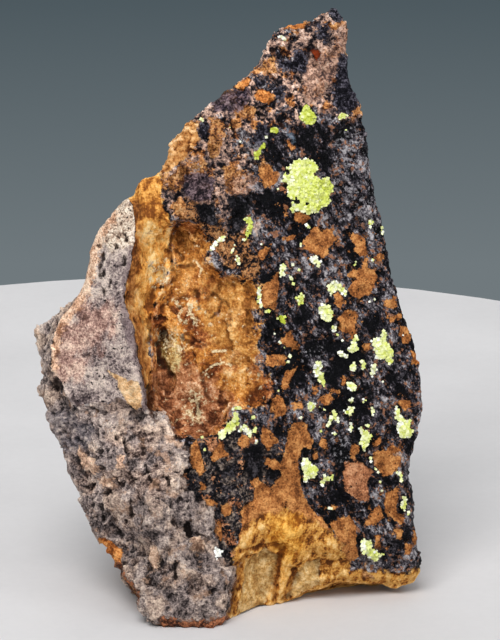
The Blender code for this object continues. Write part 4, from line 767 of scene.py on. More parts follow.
def patch_value(points, outlines):
    """How far inside the outlines each point lies, up to ZONE_REACH either way."""
    value = np.full(len(points), -ZONE_REACH)
    for outline in outlines:
        close = near(points, outline)
        value[close] = np.maximum(value[close], inset(points[close], outline))
    return np.clip(value, -ZONE_REACH, ZONE_REACH)


def line_value(points, lines):
    """How far inside the lines' half widths each point lies; outside it is negative."""
    value = np.full(len(points), -ZONE_REACH)
    for path, half_width in lines:
        close = near(points, path)
        reach = half_width - distance_to_path(points[close], path)
        value[close] = np.maximum(value[close], reach)
    return np.clip(value, -ZONE_REACH, ZONE_REACH)


def face_axes(places):
    """Places in metres as millimetres across, into and up the leaning face."""
    sine, cosine = math.sin(LEAN), math.cos(LEAN)
    x, y, z = (places * METRE).T
    return np.column_stack((x, y * cosine - z * sine, y * sine + z * cosine))


def leaned(places, turn, stretch):
    """Face axes turned in the plane of the face and shrunk by a feature's lengths."""
    across = places[:, 0] * math.cos(turn) - places[:, 2] * math.sin(turn)
    along = places[:, 0] * math.sin(turn) + places[:, 2] * math.cos(turn)
    return np.column_stack((across, places[:, 1], along)) / np.array(stretch)


def fractal(places, octaves, seed=0.0, smooth=1.0):
    """Fractal noise, mostly between -1 and 1, at places counted in feature lengths."""
    return np.array([
        noise.fractal(place, smooth, OCTAVE_STEP, octaves) for place in map(Vector, places + seed)])


def chips(places, seed):
    """Flat chips of broken rock, one to a unit, each tilted and raised its own way."""
    out = np.empty(len(places))
    for i, place in enumerate(map(Vector, places + seed)):
        bent = place + CHIP_BEND * noise.noise_vector(place * CHIP_BENDS)
        centre = noise.voronoi(bent)[1][0]
        tilt = noise.cell_vector(centre * CELL_SPREAD) - Vector((0.5, 0.5, 0.5))
        out[i] = (bent - centre).dot(tilt) + 0.35 * tilt.x
    return out


def pits(places, share, seed):
    """Round pits from 0 to 1 deep at a share of the cells, one cell to a unit."""
    out = np.zeros(len(places))
    for i, place in enumerate(map(Vector, places + seed)):
        distances, centres = noise.voronoi(place)
        out[i] = distances[0] if noise.cell(centres[0] * CELL_SPREAD) < share else 1.0
    return 1.0 - fade(out, 0.12, 0.5)


def broken_rock(at):
    """Relief, in millimetres, of the broken sides and back: swells, two sizes of chips and grain."""
    return (
        0.3 * fractal(at / 9.0, 3, 41.0) + 1.2 * chips(at / 6.5, 3.0) + 0.7 * chips(at / 2.8, 13.0)
        + 0.12 * fractal(at / 1.4, 4, 17.0, 0.7) - 0.1)


def only(obj):
    """Makes an object the only one selected and the active one."""
    bpy.ops.object.select_all(action="DESELECT")
    obj.select_set(True)
    bpy.context.view_layer.objects.active = obj


def bake(obj, name, kind, **settings):
    """Adds a modifier and applies it."""
    modifier = obj.modifiers.new(name, kind)
    for key, value in settings.items():
        setattr(modifier, key, value)
    only(obj)
    bpy.ops.object.modifier_apply(modifier=modifier.name)


def linked(name, data):
    """A new object in the scene for a mesh, a light or a camera."""
    obj = bpy.data.objects.new(name, data)
    bpy.context.scene.collection.objects.link(obj)
    return obj


def vertex_places(mesh):
    """The places of a mesh's vertices, in metres."""
    places = np.empty(len(mesh.vertices) * 3)
    mesh.vertices.foreach_get("co", places)
    return places.reshape(-1, 3)


def vertex_normals(mesh):
    """The normals of a mesh's vertices."""
    normals = np.empty(len(mesh.vertices) * 3, np.float32)
    mesh.vertex_normals.foreach_get("vector", normals)
    return normals.reshape(-1, 3).astype(float)


def keep_value(mesh, name, values):
    """Stores one number for each vertex, for the materials to read."""
    layer = mesh.attributes.new(name, "FLOAT", "POINT")
    layer.data.foreach_set("value", np.asarray(values, np.float32))


def tree_of(obj):
    """A search tree of an object's faces, for rays."""
    mesh = bmesh.new()
    mesh.from_mesh(obj.data)
    tree = BVHTree.FromBMesh(mesh)
    mesh.free()
    return tree


def behind_face(tree, places):
    """How far, in millimetres, each place lies behind what is seen of the stone from the front."""
    out = np.zeros(len(places))
    for i, place in enumerate(map(Vector, places)):
        ray = place - EYE
        hit = tree.ray_cast(EYE, ray.normalized())
        if hit[0] is not None:
            out[i] = max(0.0, ray.length - hit[3]) * METRE
    return out


def push_out(mesh, places, out):
    """Moves each vertex out along its normal by some millimetres, but never under the floor."""
    places = places + vertex_normals(mesh) * (out / METRE)[:, None]
    places[:, 2] = np.maximum(places[:, 2], 0.0)
    mesh.vertices.foreach_set("co", places.ravel())
    mesh.update()


def even_skin():
    """A fine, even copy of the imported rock, with its sides and back broken up."""
    skin = linked("rock_skin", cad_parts["host_rock"].data.copy())
    only(skin)
    bpy.ops.object.mode_set(mode="EDIT")
    bpy.ops.mesh.select_all(action="SELECT")
    bpy.ops.mesh.remove_doubles(threshold=SAME_CORNER)
    bpy.ops.object.mode_set(mode="OBJECT")
    bake(skin, "even grid", "REMESH", mode="VOXEL", voxel_size=SKIN_VOXEL / METRE)
    bake(skin, "softer facets", "SMOOTH", factor=0.5, iterations=SKIN_SMOOTHING)
    places = vertex_places(skin.data)
    behind = behind_face(tree_of(skin), places)
    side = behind > SIDE_START
    share = fade(behind[side], SIDE_START, SIDE_FULL) * fade(places[side, 2] * METRE, 0.0, BASE_FLAT)
    out = np.zeros(len(places))
    out[side] = broken_rock(face_axes(places[side])) * share
    push_out(skin.data, places, out)
    group = skin.vertex_groups.new(name="sides")
    group.add([int(i) for i in np.flatnonzero(behind > FACE_DEPTH)], 1.0, "REPLACE")
    # The even grid has faces of four corners, each of them two triangles.
    bake(skin, "fewer faces behind", "DECIMATE", vertex_group="sides",
         ratio=SKIN_TRIANGLES / (2.0 * len(skin.data.polygons)))
    skin.vertex_groups.clear()
    return skin


def zone_values(seen):
    """How far inside each zone and line every point that is seen on the face lies, by name."""
    values = {name: patch_value(seen, outlines) for name, outlines in PATCHES.items()}
    values.update({name: line_value(seen, lines) for name, lines in LINES.items()})
    return values


def averaged(values, edges, rounds):
    """Each vertex's values averaged with its neighbours', several times over."""
    count = len(values)
    ends = np.concatenate((edges[:, 0], edges[:, 1]))
    others = np.concatenate((edges[:, 1], edges[:, 0]))
    links = np.bincount(ends, minlength=count)[:, None]
    for _ in range(rounds):
        gathered = [np.bincount(ends, column[others], count) for column in values.T]
        values = 0.5 * values + 0.5 * np.column_stack(gathered) / links
    return values


def standing_out(mesh, rounds):
    """How far, in millimetres, each vertex stands out from its surroundings; below 0 in a dip."""
    edges = np.empty(len(mesh.edges) * 2, int)
    mesh.edges.foreach_get("vertices", edges)
    places = vertex_places(mesh)
    offset = places - averaged(places, edges.reshape(-1, 2), rounds)
    return (offset * vertex_normals(mesh)).sum(axis=1) * METRE


# How high cracks, grooves and the like stand over the rest, in millimetres, and between which
# distances from their edge they fade in.
LINE_RELIEF = (
    ("crack", -0.10, -0.2, 0.08), ("deep", -0.30, -0.5, 0.1), ("shaded_pit", -0.30, -0.15, 0.12),
    ("groove", -0.18, -0.35, 0.1), ("peak", 0.35, -0.6, 0.9), ("ridge", 0.07, -0.2, 0.05),
)
# How ragged the lines are that cut into the rock, in millimetres.
LINE_RAGGEDNESS = {"shaded_pit": 0.3, "crack": 0.12, "deep": 0.15, "groove": 0.3}


def skin_relief(places, behind, zones):
    """How far, in millimetres, each point of the skin stands out, by the roughness of its zone.

    Each layer adds up patterns, an amount in millimetres times a pattern of a size. Every zone
    covers the ones before it.
    """
    at = face_axes(places)
    ragged = 0.45 * fractal(at / 1.3, 3, 77.0)
    share = {name: fade(value + ragged, -0.25, 0.25) for name, value in zones.items()}
    lumps = fractal(at / 2.0, 5)
    grain = fractal(at / 0.62, 3, 7.0)
    sand = fractal(at / 0.9, 4, 29.0, 0.6)
    flakes = chips(at / 1.2, 5.0)
    slabs = chips(at / 2.8, 9.0)
    small = pits(at / 0.8, 0.25, 3.0)
    holes = fade(fractal(at / 1.6, 5, 19.0), 0.3, 0.6)

    streaks = fractal(leaned(at, STREAK_TURN, STREAK), 4)
    coat = 0.18 * streaks + 0.45 * flakes + 0.3 * slabs + 0.07 * grain
    lined = fractal(leaned(at, WALL_TURN, WALL_LINES), 4)
    wild = fade(fractal(at / 4.0, 2, 53.0), -0.3, 0.5)
    sandy = 0.45 * fractal(at / 3.4, 3, 31.0) + 0.6 * slabs + 0.1 * sand
    broken = 0.5 * flakes + 0.22 * sand - 0.35 * holes
    vugs = pits(at / 0.75, 0.32, 23.0)
    out = coat
    for name, layer in (
        ("granular", 0.15 * lumps + 0.5 * flakes + 0.16 * sand - 0.25 * holes),
        ("mottled", 0.12 * lumps + 0.4 * flakes + 0.13 * sand),
        ("limonite", 0.08 + 0.10 * lumps + 0.07 * grain - 0.06 * small),
        ("burnt", 0.15 * lumps + 0.5 * flakes + 0.16 * sand - 0.3 * holes),
        ("hollow", 0.3 * fractal(at / 2.6, 4, 11.0) + 0.5 * slabs + 0.08 * flakes + 0.05 * sand),
        ("wall", 0.12 * lined + 0.2 * lumps + 0.2 * slabs + 0.08 * sand),
        ("foot", 0.16 * fractal(at / 2.2, 5) + 0.25 * slabs + 0.06 * grain),
        ("scoop", 0.10 * fractal(at / 2.2, 4) + 0.04 * grain - 0.2),
        ("rough", sandy + wild * broken + 0.09 * grain - 0.26 * vugs),
        ("tan", 0.1 + 0.15 * lumps + 0.08 * grain),
        ("lump", sandy + broken),
        ("plate", 0.1 * lumps + 0.18 * slabs + 0.06 * sand - 0.12 * small - 0.1 * holes),
        ("vuggy", 0.16 * sand - 0.18 * pits(at / 0.55, 0.4, 11.0)),
    ):
        out = out + (layer - out) * share[name]
    out = out + (0.1 * grain - out) * fade(behind, SIDE_START, SIDE_FULL)
    for name, height, start, end in LINE_RELIEF:
        out = out + height * fade(zones[name], start, end)
    return out


def rock_skin():
    """The stone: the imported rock's shape with its fine roughness, and the values its finish reads."""
    skin = even_skin()
    mesh = skin.data
    places = vertex_places(mesh)
    behind = behind_face(tree_of(skin), places)
    zones = zone_values(from_world(places))
    wobble = fractal(face_axes(places) / 0.9, 3, 71.0)
    for name, amount in LINE_RAGGEDNESS.items():
        zones[name] = zones[name] + amount * wobble
    push_out(mesh, places, skin_relief(places, behind, zones))
    keep_value(mesh, "behind", behind)
    # The coarse chips of the sides and of the rough mass would get too much painted shade from their
    # dips and bowls.
    calm = 1.0 - 0.8 * fade(behind, SIDE_START, SIDE_FULL)
    calm = calm * (1.0 - 0.3 * fade(zones["rough"], -0.2, 0.4))
    keep_value(mesh, "dip", standing_out(mesh, DIP_ROUNDS) * calm)
    keep_value(mesh, "bowl", standing_out(mesh, BOWL_ROUNDS) * calm)
    for name, value in zones.items():
        keep_value(mesh, name, value)
    only(skin)
    bpy.ops.object.shade_smooth()
    dress(skin, skin_finish())
    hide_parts("host_rock")
    return skin


def dress(piece, finish):
    """Gives a piece its finish and the body it rides on."""
    piece.data.materials.clear()
    piece.data.materials.append(finish)
    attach(piece, "root")


def tablet_master():
    """One square crystal, 1 mm wide, with its edges bevelled."""
    bpy.ops.mesh.primitive_cube_add(size=1.0)
    tablet = bpy.context.object
    bpy.ops.object.mode_set(mode="EDIT")
    bpy.ops.mesh.select_all(action="SELECT")
    bpy.ops.transform.resize(value=(1.0, 1.0, TABLET_THICKNESS))
    bpy.ops.mesh.bevel(offset=TABLET_BEVEL, segments=1, affect="EDGES")
    bpy.ops.object.mode_set(mode="OBJECT")
    mesh = tablet.data
    bpy.data.objects.remove(tablet)
    return mesh


def surface_hit(tree, point):
    """The place and the normal of the skin that is seen at a point of the face."""
    ray = Vector(to_world(point, 0.0)) - EYE
    hit = tree.ray_cast(EYE, ray.normalized())
    return (hit[0], hit[1]) if hit[0] is not None else (None, None)


def tablet_at(place, normal, side, rng, lift):
    """Where one tablet lies on the skin: facing out, with its own turn and tilt."""
    facing = (normal + TABLET_FACING * TOWARDS_EYE).normalized()
    spin = Matrix.Rotation(rng.uniform(0.0, math.pi / 2), 4, "Z")
    tip = Matrix.Rotation(rng.uniform(-TABLET_TILT, TABLET_TILT), 4, "X")
    tip = Matrix.Rotation(rng.uniform(-TABLET_TILT, TABLET_TILT), 4, "Y") @ tip
    turn = facing.to_track_quat("Z", "Y").to_matrix().to_4x4()
    height = rng.uniform(*TABLET_THICKENING)
    size = Matrix.Diagonal((side / METRE, side / METRE, height / METRE, 1.0))
    return Matrix.Translation(place + facing * (lift / METRE)) @ turn @ tip @ spin @ size


def add_tablet(shell, shades, master, matrix, shade):
    """Adds a copy of the one tablet to a crust, with its own shade of green."""
    start = len(shell.verts)
    shell.from_mesh(master)
    shell.verts.ensure_lookup_table()
    new = shell.verts[start:]
    bmesh.ops.transform(shell, matrix=matrix, verts=new)
    for vert in new:
        vert[shades] = shade


def frayed(points):
    """How far, in millimetres, a crust's ragged edge lies outside its outline at points of the face."""
    flat = np.column_stack((points, np.zeros(len(points))))
    return 0.16 * fractal(flat / 0.45, 3, 61.0)


def crust_spots(outline, rng):
    """Places of the tablets of one crust, and how large each may be."""
    ring = np.array(outline, float)
    low = ring.min(axis=0)
    high = ring.max(axis=0)
    steps = np.ceil((high - low) / TABLET_SPACING).astype(int) + 1
    spots = [
        (low[0] + (i + rng.uniform(-TABLET_JITTER, TABLET_JITTER)) * TABLET_SPACING,
         low[1] + (k + rng.uniform(-TABLET_JITTER, TABLET_JITTER)) * TABLET_SPACING)
        for i in range(steps[0]) for k in range(steps[1])
    ]
    places = np.array(spots)
    rooms = inset(places, outline) + frayed(places)
    gaps = in_gap(places, TABLET_SIDES[0])
    return [(spot, room) for spot, room, gap in zip(spots, rooms, gaps)
            if room > rng.uniform(0.0, EDGE_THINNING) and not gap]


def in_gap(points, around=0.0):
    """Which points lie in one of the crusts' gaps, or near it."""
    return np.any([np.linalg.norm(points - centre, axis=1) < radius + around
                   for centre, radius in CRUST_GAPS], axis=0)


def crust_base(sight, outlines):
    """A thin sheet that follows the skin inside some outlines."""
    inside = patch_value(sight["seen"], outlines) + sight["fray"]
    chosen = (inside > SHEET_INSET) & (sight["behind"] < FACE_DEPTH) & ~in_gap(sight["seen"])
    full = np.minimum(1.0, inside / SHEET_EDGE)
    rise = CRUST_THICKNESS * (SHEET_THINNEST + (1.0 - SHEET_THINNEST) * full) / METRE
    shell = bmesh.new()
    made = {}
    for corners in sight["faces"][chosen[sight["faces"]].all(axis=1)]:
        for k in corners:
            if k not in made:
                made[k] = shell.verts.new(sight["places"][k] + sight["normals"][k] * rise[k])
        shell.faces.new([made[k] for k in corners])
    return shell


def crust_piece(name, outlines, sight, master, seed, greenness):
    """One crust: a thin sheet on the skin with square tablets grown all over it."""
    rng = random.Random(seed)
    shell = crust_base(sight, outlines)
    mesh = bpy.data.meshes.new(name)
    shell.to_mesh(mesh)
    shell.free()
    crust = linked(name, mesh)
    if len(mesh.polygons):
        bake(crust, "thickness", "SOLIDIFY", thickness=SHEET_DEPTH * CRUST_THICKNESS / METRE,
             offset=-1.0)
    shell = bmesh.new()
    shell.from_mesh(crust.data)
    shades = shell.verts.layers.float.new("shade")
    for vert in shell.verts:
        vert[shades] = greenness
    for outline in outlines:
        left, right = min(u for u, _ in outline), max(u for u, _ in outline)
        for spot, room in crust_spots(outline, rng):
            side = min(rng.uniform(*TABLET_SIDES), TABLET_SIDES[0] + EDGE_GROWTH * room)
            place, normal = surface_hit(sight["tree"], spot)
            if place is not None:
                lift = CRUST_THICKNESS * rng.uniform(*TABLET_LIFT)
                shade = greenness - EDGE_PALING * max(0.0, EDGE_WIDTH - room)
                shade += rng.gauss(0.0, GREEN_SPREAD)
                # Painted light: a crust is paler towards its left.
                shade += PAINTED_SIDE_LIGHT * ((spot[0] - left) / (right - left) - 0.5)
                add_tablet(shell, shades, master, tablet_at(place, normal, side, rng, lift), shade)
    shell.to_mesh(crust.data)
    shell.free()
    return crust


def thread_outline(path):
    """A thin closed strip along an open path."""
    path = [Vector(p) for p in path]
    left, right = [], []
    for k, point in enumerate(path):
        along = (path[min(k + 1, len(path) - 1)] - path[max(k - 1, 0)]).normalized()
        across = Vector((-along.y, along.x)) * THREAD_HALF_WIDTH
        left.append(tuple(point + across))
        right.append(tuple(point - across))
    return left + right[::-1]


def fleck_outline(point, rng):
    """A small ragged patch round a point."""
    size = rng.uniform(*FLECK_SIZES)
    angles = [k * math.tau / FLECK_CORNERS for k in range(FLECK_CORNERS)]
    return [(point[0] + size * rng.uniform(*FLECK_UNEVENNESS) * math.cos(angle),
             point[1] + size * rng.uniform(*FLECK_UNEVENNESS) * math.sin(angle))
            for angle in angles]


def what_is_seen(skin):
    """The skin's vertices, faces and tree, and where its vertices are seen from the front."""
    mesh = skin.data
    places = vertex_places(mesh)
    tree = tree_of(skin)
    faces = np.empty(len(mesh.loop_triangles) * 3, int)
    mesh.loop_triangles.foreach_get("vertices", faces)
    seen = from_world(places)
    return {
        "places": places, "normals": vertex_normals(mesh), "faces": faces.reshape(-1, 3),
        "tree": tree, "seen": seen, "fray": frayed(seen), "behind": behind_face(tree, places)}


def crystals(skin):
    """All crusts of autunite: one piece for each imported crust, and one for the smaller ones."""
    sight = what_is_seen(skin)
    master = tablet_master()
    finish = crystal_finish()
    for seed, (name, outline) in enumerate(CRUSTS.items(), start=1):
        green = GREENNESS.get(name, PLAIN_GREENNESS)
        crust = crust_piece("crystals_" + name, [outline], sight, master, seed, green)
        dress(crust, finish)
        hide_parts(name)
    rng = random.Random(FLECK_SHAPES_SEED)
    small = SMALL_CRUSTS + [thread_outline(path) for path in THREADS]
    small += [fleck_outline(point, rng) for point in FLECKS]
    flecks = crust_piece(
        "autunite_flecks", small, sight, master, FLECK_CRUSTS_SEED, FLECK_GREENNESS)
    dress(flecks, finish)
    white = crust_piece(
        "white_crystal", [WHITE_SPOT], sight, master, WHITE_SEED, WHITE_GREENNESS)
    dress(white, finish)


# Sizes of the noise that frays the edge of a zone, in millimetres.
FINE = 0.6
WIDE = 1.2
# Bands of the foot, thin layers at the left, and streaks of the plate and of its pink flush.
FOOT_BANDS = (0.8, 1.0, 2.4)
FOOT_TURN = math.radians(20.0)
LAYERS = (2.4, 1.0, 0.5)
LAYERS_TURN = math.radians(-24.0)
PLATE_STREAKS = (0.8, 1.0, 1.3)
FLUSH_STREAKS = (0.8, 1.0, 1.6)
PLATE_TURN = math.radians(25.0)
# Tones of single spots and lines, each as red, green and blue from 0 to 255.
BROWN_SPECK = (142, 98, 74)
PINHOLE_SHADE = (34, 24, 22)
TAN_GRAIN = (176, 138, 112)
EDGE_SHADE_TONE = (112, 94, 96)
VUG_SHADE = (30, 25, 28)
# Heights of the fine bump on the stone and on the tablets, in metres.
STONE_BUMP = 0.0007
TABLET_BUMP = 0.00006
# How much the wide patches of painted light and painted shade differ from the rest.
PAINTED_LIGHT_SHARE = 0.22
PAINTED_SHADE_SHARE = -0.12
# Where the finish of the sides takes over, in millimetres behind the face.
SIDE_FINISH = (1.6, 2.4)


class Finish:
    """The nodes of one material, on the piece's own coordinates in millimetres."""

    def __init__(self, name):
        self.material = bpy.data.materials.new(name)
        self.material.use_nodes = True
        self.tree = self.material.node_tree
        self.shader = self.tree.nodes["Principled BSDF"]
        self.object = self.node("TexCoord", {}).outputs["Object"]
        self.noises = {}

    def node(self, kind, inputs, **settings):
        """A new node with its inputs linked or set, and its settings."""
        made = self.tree.nodes.new("ShaderNode" + kind)
        for key, value in settings.items():
            setattr(made, key, value)
        for key, value in inputs.items():
            self.feed(made.inputs[key], value)
        return made

    def feed(self, socket, value):
        """Links a value to a socket, or sets it there."""
        if isinstance(value, bpy.types.NodeSocket):
            self.tree.links.new(value, socket)
        else:
            socket.default_value = value

    def place(self, stretch=(1.0, 1.0, 1.0), turn=0.0):
        """The piece's coordinates, counted in a feature's lengths along the turned face."""
        lengths = [length / METRE for length in stretch]
        return self.node("Mapping", {"Vector": self.object, "Rotation": (-LEAN, turn, 0.0),
                                     "Scale": lengths}, vector_type="TEXTURE").outputs[0]

    def noise(self, size, detail, roughness=0.55, stretch=(1.0, 1.0, 1.0), turn=0.0, seed=0.0):
        """Noise from about 0.2 to 0.8 with lumps of the given size in millimetres."""
        key = (size, detail, roughness, stretch, turn, seed)
        if key not in self.noises:
            made = self.node("TexNoise", {
                "Vector": self.place(stretch, turn), "W": seed, "Scale": 1.0 / size,
                "Detail": detail, "Roughness": roughness}, noise_dimensions="4D")
            self.noises[key] = made.outputs["Fac"]
        return self.noises[key]

    def cells(self, size):
        """A random grey for each of the grains of the given size."""
        key = ("cells", size)
        if key not in self.noises:
            made = self.node("TexVoronoi", {"Vector": self.place(), "Scale": 1.0 / size})
            self.noises[key] = self.node("SeparateColor", {"Color": made.outputs["Color"]}).outputs[0]
        return self.noises[key]

    def value(self, name):
        """A value that is kept at the mesh's own points."""
        return self.node("Attribute", {}, attribute_name=name).outputs["Fac"]

    def math(self, operation, a, b):
        """Two values, or a value and a number, put together."""
        return self.node("Math", {0: a, 1: b}, operation=operation).outputs[0]

    def both(self, a, b):
        """Two values, or a value and a number, multiplied."""
        return self.math("MULTIPLY", a, b)

    def swing(self, value, amount):
        """How far a noise is from its middle, times an amount."""
        return self.both(self.math("SUBTRACT", value, 0.5), amount)

    def total(self, first, *others):
        """The sum of all its values."""
        for other in others:
            first = self.math("ADD", first, other)
        return first

    def dust(self, amount):
        """The finest specks, swinging by an amount."""
        return self.swing(self.noise(0.24, 2.0), amount)

    def sand(self, amount):
        """Specks of the size of sand grains."""
        return self.swing(self.noise(0.3, 3.0), amount)

    def grains(self, amount):
        """Single grains, each with a grey of its own."""
        return self.swing(self.cells(0.3), amount)

    def drift(self, amount):
        """Slow changes from one part of a zone to the next."""
        return self.swing(self.noise(3.0, 3.0, seed=2.0), amount)

    def dips(self, amount):
        """Painted shade and light: less in small dips of the relief, and more where it stands out."""
        return self.both(self.value("dip"), amount)

    def bowls(self, amount):
        """Painted shade and light: less in wide bowls of the relief, and more where it stands out."""
        return self.both(self.value("bowl"), amount)

    def fit(self, value, low, high):
        """0 under low, 1 over high and smooth between them."""
        return self.node("MapRange", {"Value": value, "From Min": low, "From Max": high},
                         interpolation_type="SMOOTHSTEP").outputs[0]

    def ramp(self, value, stops):
        """A colour for each value, from stops of a value and the red, green and blue of a tone."""
        made = self.node("ValToRGB", {"Fac": value})
        points = made.color_ramp.elements
        while len(points) < len(stops):
            points.new(1.0)
        for point, (at, *colour) in zip(points, stops):
            point.position = at
            point.color = tone(*colour)
        return made.outputs["Color"]

    def blend(self, share, under, over):
        """One colour laid over another by a share."""
        made = self.node("Mix", {0: share, 6: under, 7: over}, data_type="RGBA")
        return made.outputs[2]

    def mix(self, share, under, over):
        """One number laid over another by a share."""
        return self.node("Mix", {0: share, 2: under, 3: over}).outputs[0]

    def zone(self, name, ragged, size, soft, grow=0.0):
        """1 inside a named zone and 0 outside, with an edge frayed by noise."""
        fray = self.swing(self.noise(size, 6.0, 0.7), 4.0 * ragged)
        return self.fit(self.total(self.value(name), fray), -soft - grow, soft - grow)

    def spots(self, size, above, soft, detail, seed):
        """1 where noise of a size is above a level."""
        return self.fit(self.noise(size, detail, 0.6, seed=seed), above - soft, above + soft)

    def shaded(self, colour, value):
        """A colour made darker or lighter by a factor."""
        made = self.node("VectorMath", {0: colour, 3: value}, operation="SCALE")
        return made.outputs[0]


def tone(red, green, blue):
    """A colour as it looks on a screen, from 0 to 255, turned linear."""
    values = [channel / 255.0 for channel in (red, green, blue)]
    return tuple(v / 12.92 if v <= 0.04045 else ((v + 0.055) / 1.055) ** 2.4 for v in values) + (1.0,)


def black_coat(f):
    """The black manganese coat: pitch black, with broken grey grains and brown specks, and greyer where
    a silvery sheen is painted.
    """
    # Painted sheen: the coat's grey level is raised in its sheen zones.
    painted_sheen = f.both(f.zone("painted_sheen", 1.0, WIDE, 0.6), 0.045)
    level = f.total(
        f.noise(0.65, 6.0, 0.74, STREAK, STREAK_TURN), f.dust(0.5), f.drift(1.0), painted_sheen, -0.008,
        f.dips(0.6))
    colour = f.ramp(level, [
        (0.44, 5, 5, 8), (0.50, 23, 21, 26), (0.56, 54, 50, 56),
        (0.63, 94, 88, 93), (0.75, 164, 159, 161)])
    specks = f.both(f.spots(0.6, 0.58, 0.02, 4.0, 5.0), f.spots(3.0, 0.49, 0.05, 3.0, 2.0))
    return f.blend(specks, colour, tone(*BROWN_SPECK))


def granular_rock(f):
    """Pinkish, brown, grey and black grains."""
    level = f.total(f.noise(1.5, 6.0, 0.74, seed=3.0), f.grains(0.16), f.dips(0.6))
    colour = f.ramp(level, [
        (0.40, 18, 16, 20), (0.46, 66, 56, 58), (0.51, 124, 101, 93),
        (0.56, 174, 139, 121), (0.62, 206, 168, 148), (0.70, 230, 204, 187)])
    rusty = f.ramp(level, [
        (0.42, 44, 24, 18), (0.49, 132, 80, 46), (0.55, 186, 122, 68),
        (0.66, 220, 164, 110)])
    return f.blend(f.spots(1.8, 0.56, 0.03, 4.0, 29.0), colour, rusty)


def limonite(f, dark, mid, light):
    """A fine, matt, rusty crust with a few pinholes painted black as shade, from three tones."""
    level = f.total(f.noise(1.3, 5.0, 0.66, seed=4.0), f.dust(0.5), f.dips(0.4))
    colour = f.ramp(level, [(0.36, *dark), (0.50, *mid), (0.64, *light)])
    # Painted shade in pinholes.
    holes = f.spots(0.5, 0.635, 0.02, 4.0, 7.0)
    return f.blend(holes, colour, tone(*PINHOLE_SHADE))


def hollow_rock(f):
    """Orange-brown rock with golden, coppery and rusty parts, cream flecks and creases darkened by
    painted shade.
    """
    fine = f.sand(0.45)
    # Painted shade in the creases of the relief.
    crease_shade = f.dips(0.7)
    level = f.total(
        0.5, f.swing(f.noise(1.9, 7.0, 0.72, seed=8.0), 0.7), f.drift(0.5), fine, crease_shade,
        f.bowls(0.15))
    colour = f.ramp(level, [
        (0.36, 104, 54, 24), (0.44, 160, 94, 42), (0.52, 198, 126, 56),
        (0.60, 222, 157, 82), (0.72, 240, 202, 148)])
    copper = f.ramp(level, [
        (0.36, 84, 40, 24), (0.44, 142, 76, 42), (0.52, 178, 108, 64),
        (0.62, 206, 148, 102)])
    colour = f.blend(f.both(f.spots(3.0, 0.52, 0.05, 5.0, 27.0), 0.8), colour, copper)
    gold_level = f.total(0.5, f.swing(f.noise(1.0, 6.0, 0.72, seed=9.0), 0.7), fine, crease_shade)
    gold = f.ramp(gold_level, [
        (0.36, 120, 70, 28), (0.46, 170, 108, 48), (0.54, 202, 144, 74),
        (0.68, 230, 188, 124)])
    colour = f.blend(f.both(f.zone("gold", 1.2, WIDE, 0.9), 0.7), colour, gold)
    rust = f.ramp(gold_level, [
        (0.38, 82, 43, 27), (0.46, 139, 83, 53), (0.53, 176, 117, 81),
        (0.60, 204, 152, 114), (0.70, 228, 196, 164)])
    colour = f.blend(f.both(f.zone("rust", 1.2, WIDE, 0.9), 0.85), colour, rust)
    olive = f.ramp(gold_level, [
        (0.40, 80, 56, 22), (0.50, 150, 120, 60), (0.62, 216, 200, 140)])
    colour = f.blend(f.both(f.zone("olive", 0.9, FINE, 0.3), 0.7), colour, olive)
    strays = f.both(f.spots(0.7, 0.62, 0.02, 6.0, 14.0), 0.8)
    return cream_flecks(f, colour, strays)


def cream_flecks(f, colour, strays):
    """Granular cream flecks in their own zone, and a few strays."""
    cream = f.ramp(f.noise(0.3, 3.0), [(0.4, 190, 150, 100), (0.6, 240, 224, 186)])
    flecks = f.both(f.spots(0.6, 0.52, 0.02, 6.0, 13.0), f.zone("cream", 0.9, FINE, 0.3, 0.3))
    return f.blend(f.math("MAXIMUM", flecks, strays), colour, cream)


def wall_rock(f):
    """The golden ochre wall, mottled and faintly lined from top to bottom, dark brown near its foot and
    along the plate: partly stain and partly painted shade.
    """
    level = f.total(
        0.5, f.swing(f.noise(0.8, 5.0, 0.65, WALL_LINES, WALL_TURN), 0.8),
        f.swing(f.noise(1.3, 5.0, 0.66, seed=4.0), 0.9), f.drift(1.2), f.sand(0.5), f.dips(0.5))
    colour = f.ramp(level, [
        (0.30, 130, 74, 32), (0.41, 188, 119, 50), (0.50, 222, 155, 76),
        (0.60, 237, 178, 96), (0.76, 246, 210, 148)])
    # Partly brown stain and partly painted shade low on the wall and under the plate's edge.
    umber_and_shade = f.ramp(level, [
        (0.32, 76, 42, 24), (0.46, 140, 84, 44), (0.58, 184, 122, 66),
        (0.74, 214, 164, 104)])
    colour = f.blend(f.both(f.zone("umber_and_shade", 1.2, WIDE, 0.8), 0.85), colour, umber_and_shade)
    return cream_flecks(f, colour, 0.0)


def corner_rock(f):
    """Tan and ochre lumps above the wall."""
    level = f.total(f.noise(1.5, 6.0, 0.74, seed=3.0), f.dips(0.6))
    return f.ramp(level, [
        (0.38, 116, 66, 36), (0.46, 178, 116, 60), (0.54, 212, 156, 96),
        (0.66, 232, 192, 146)])


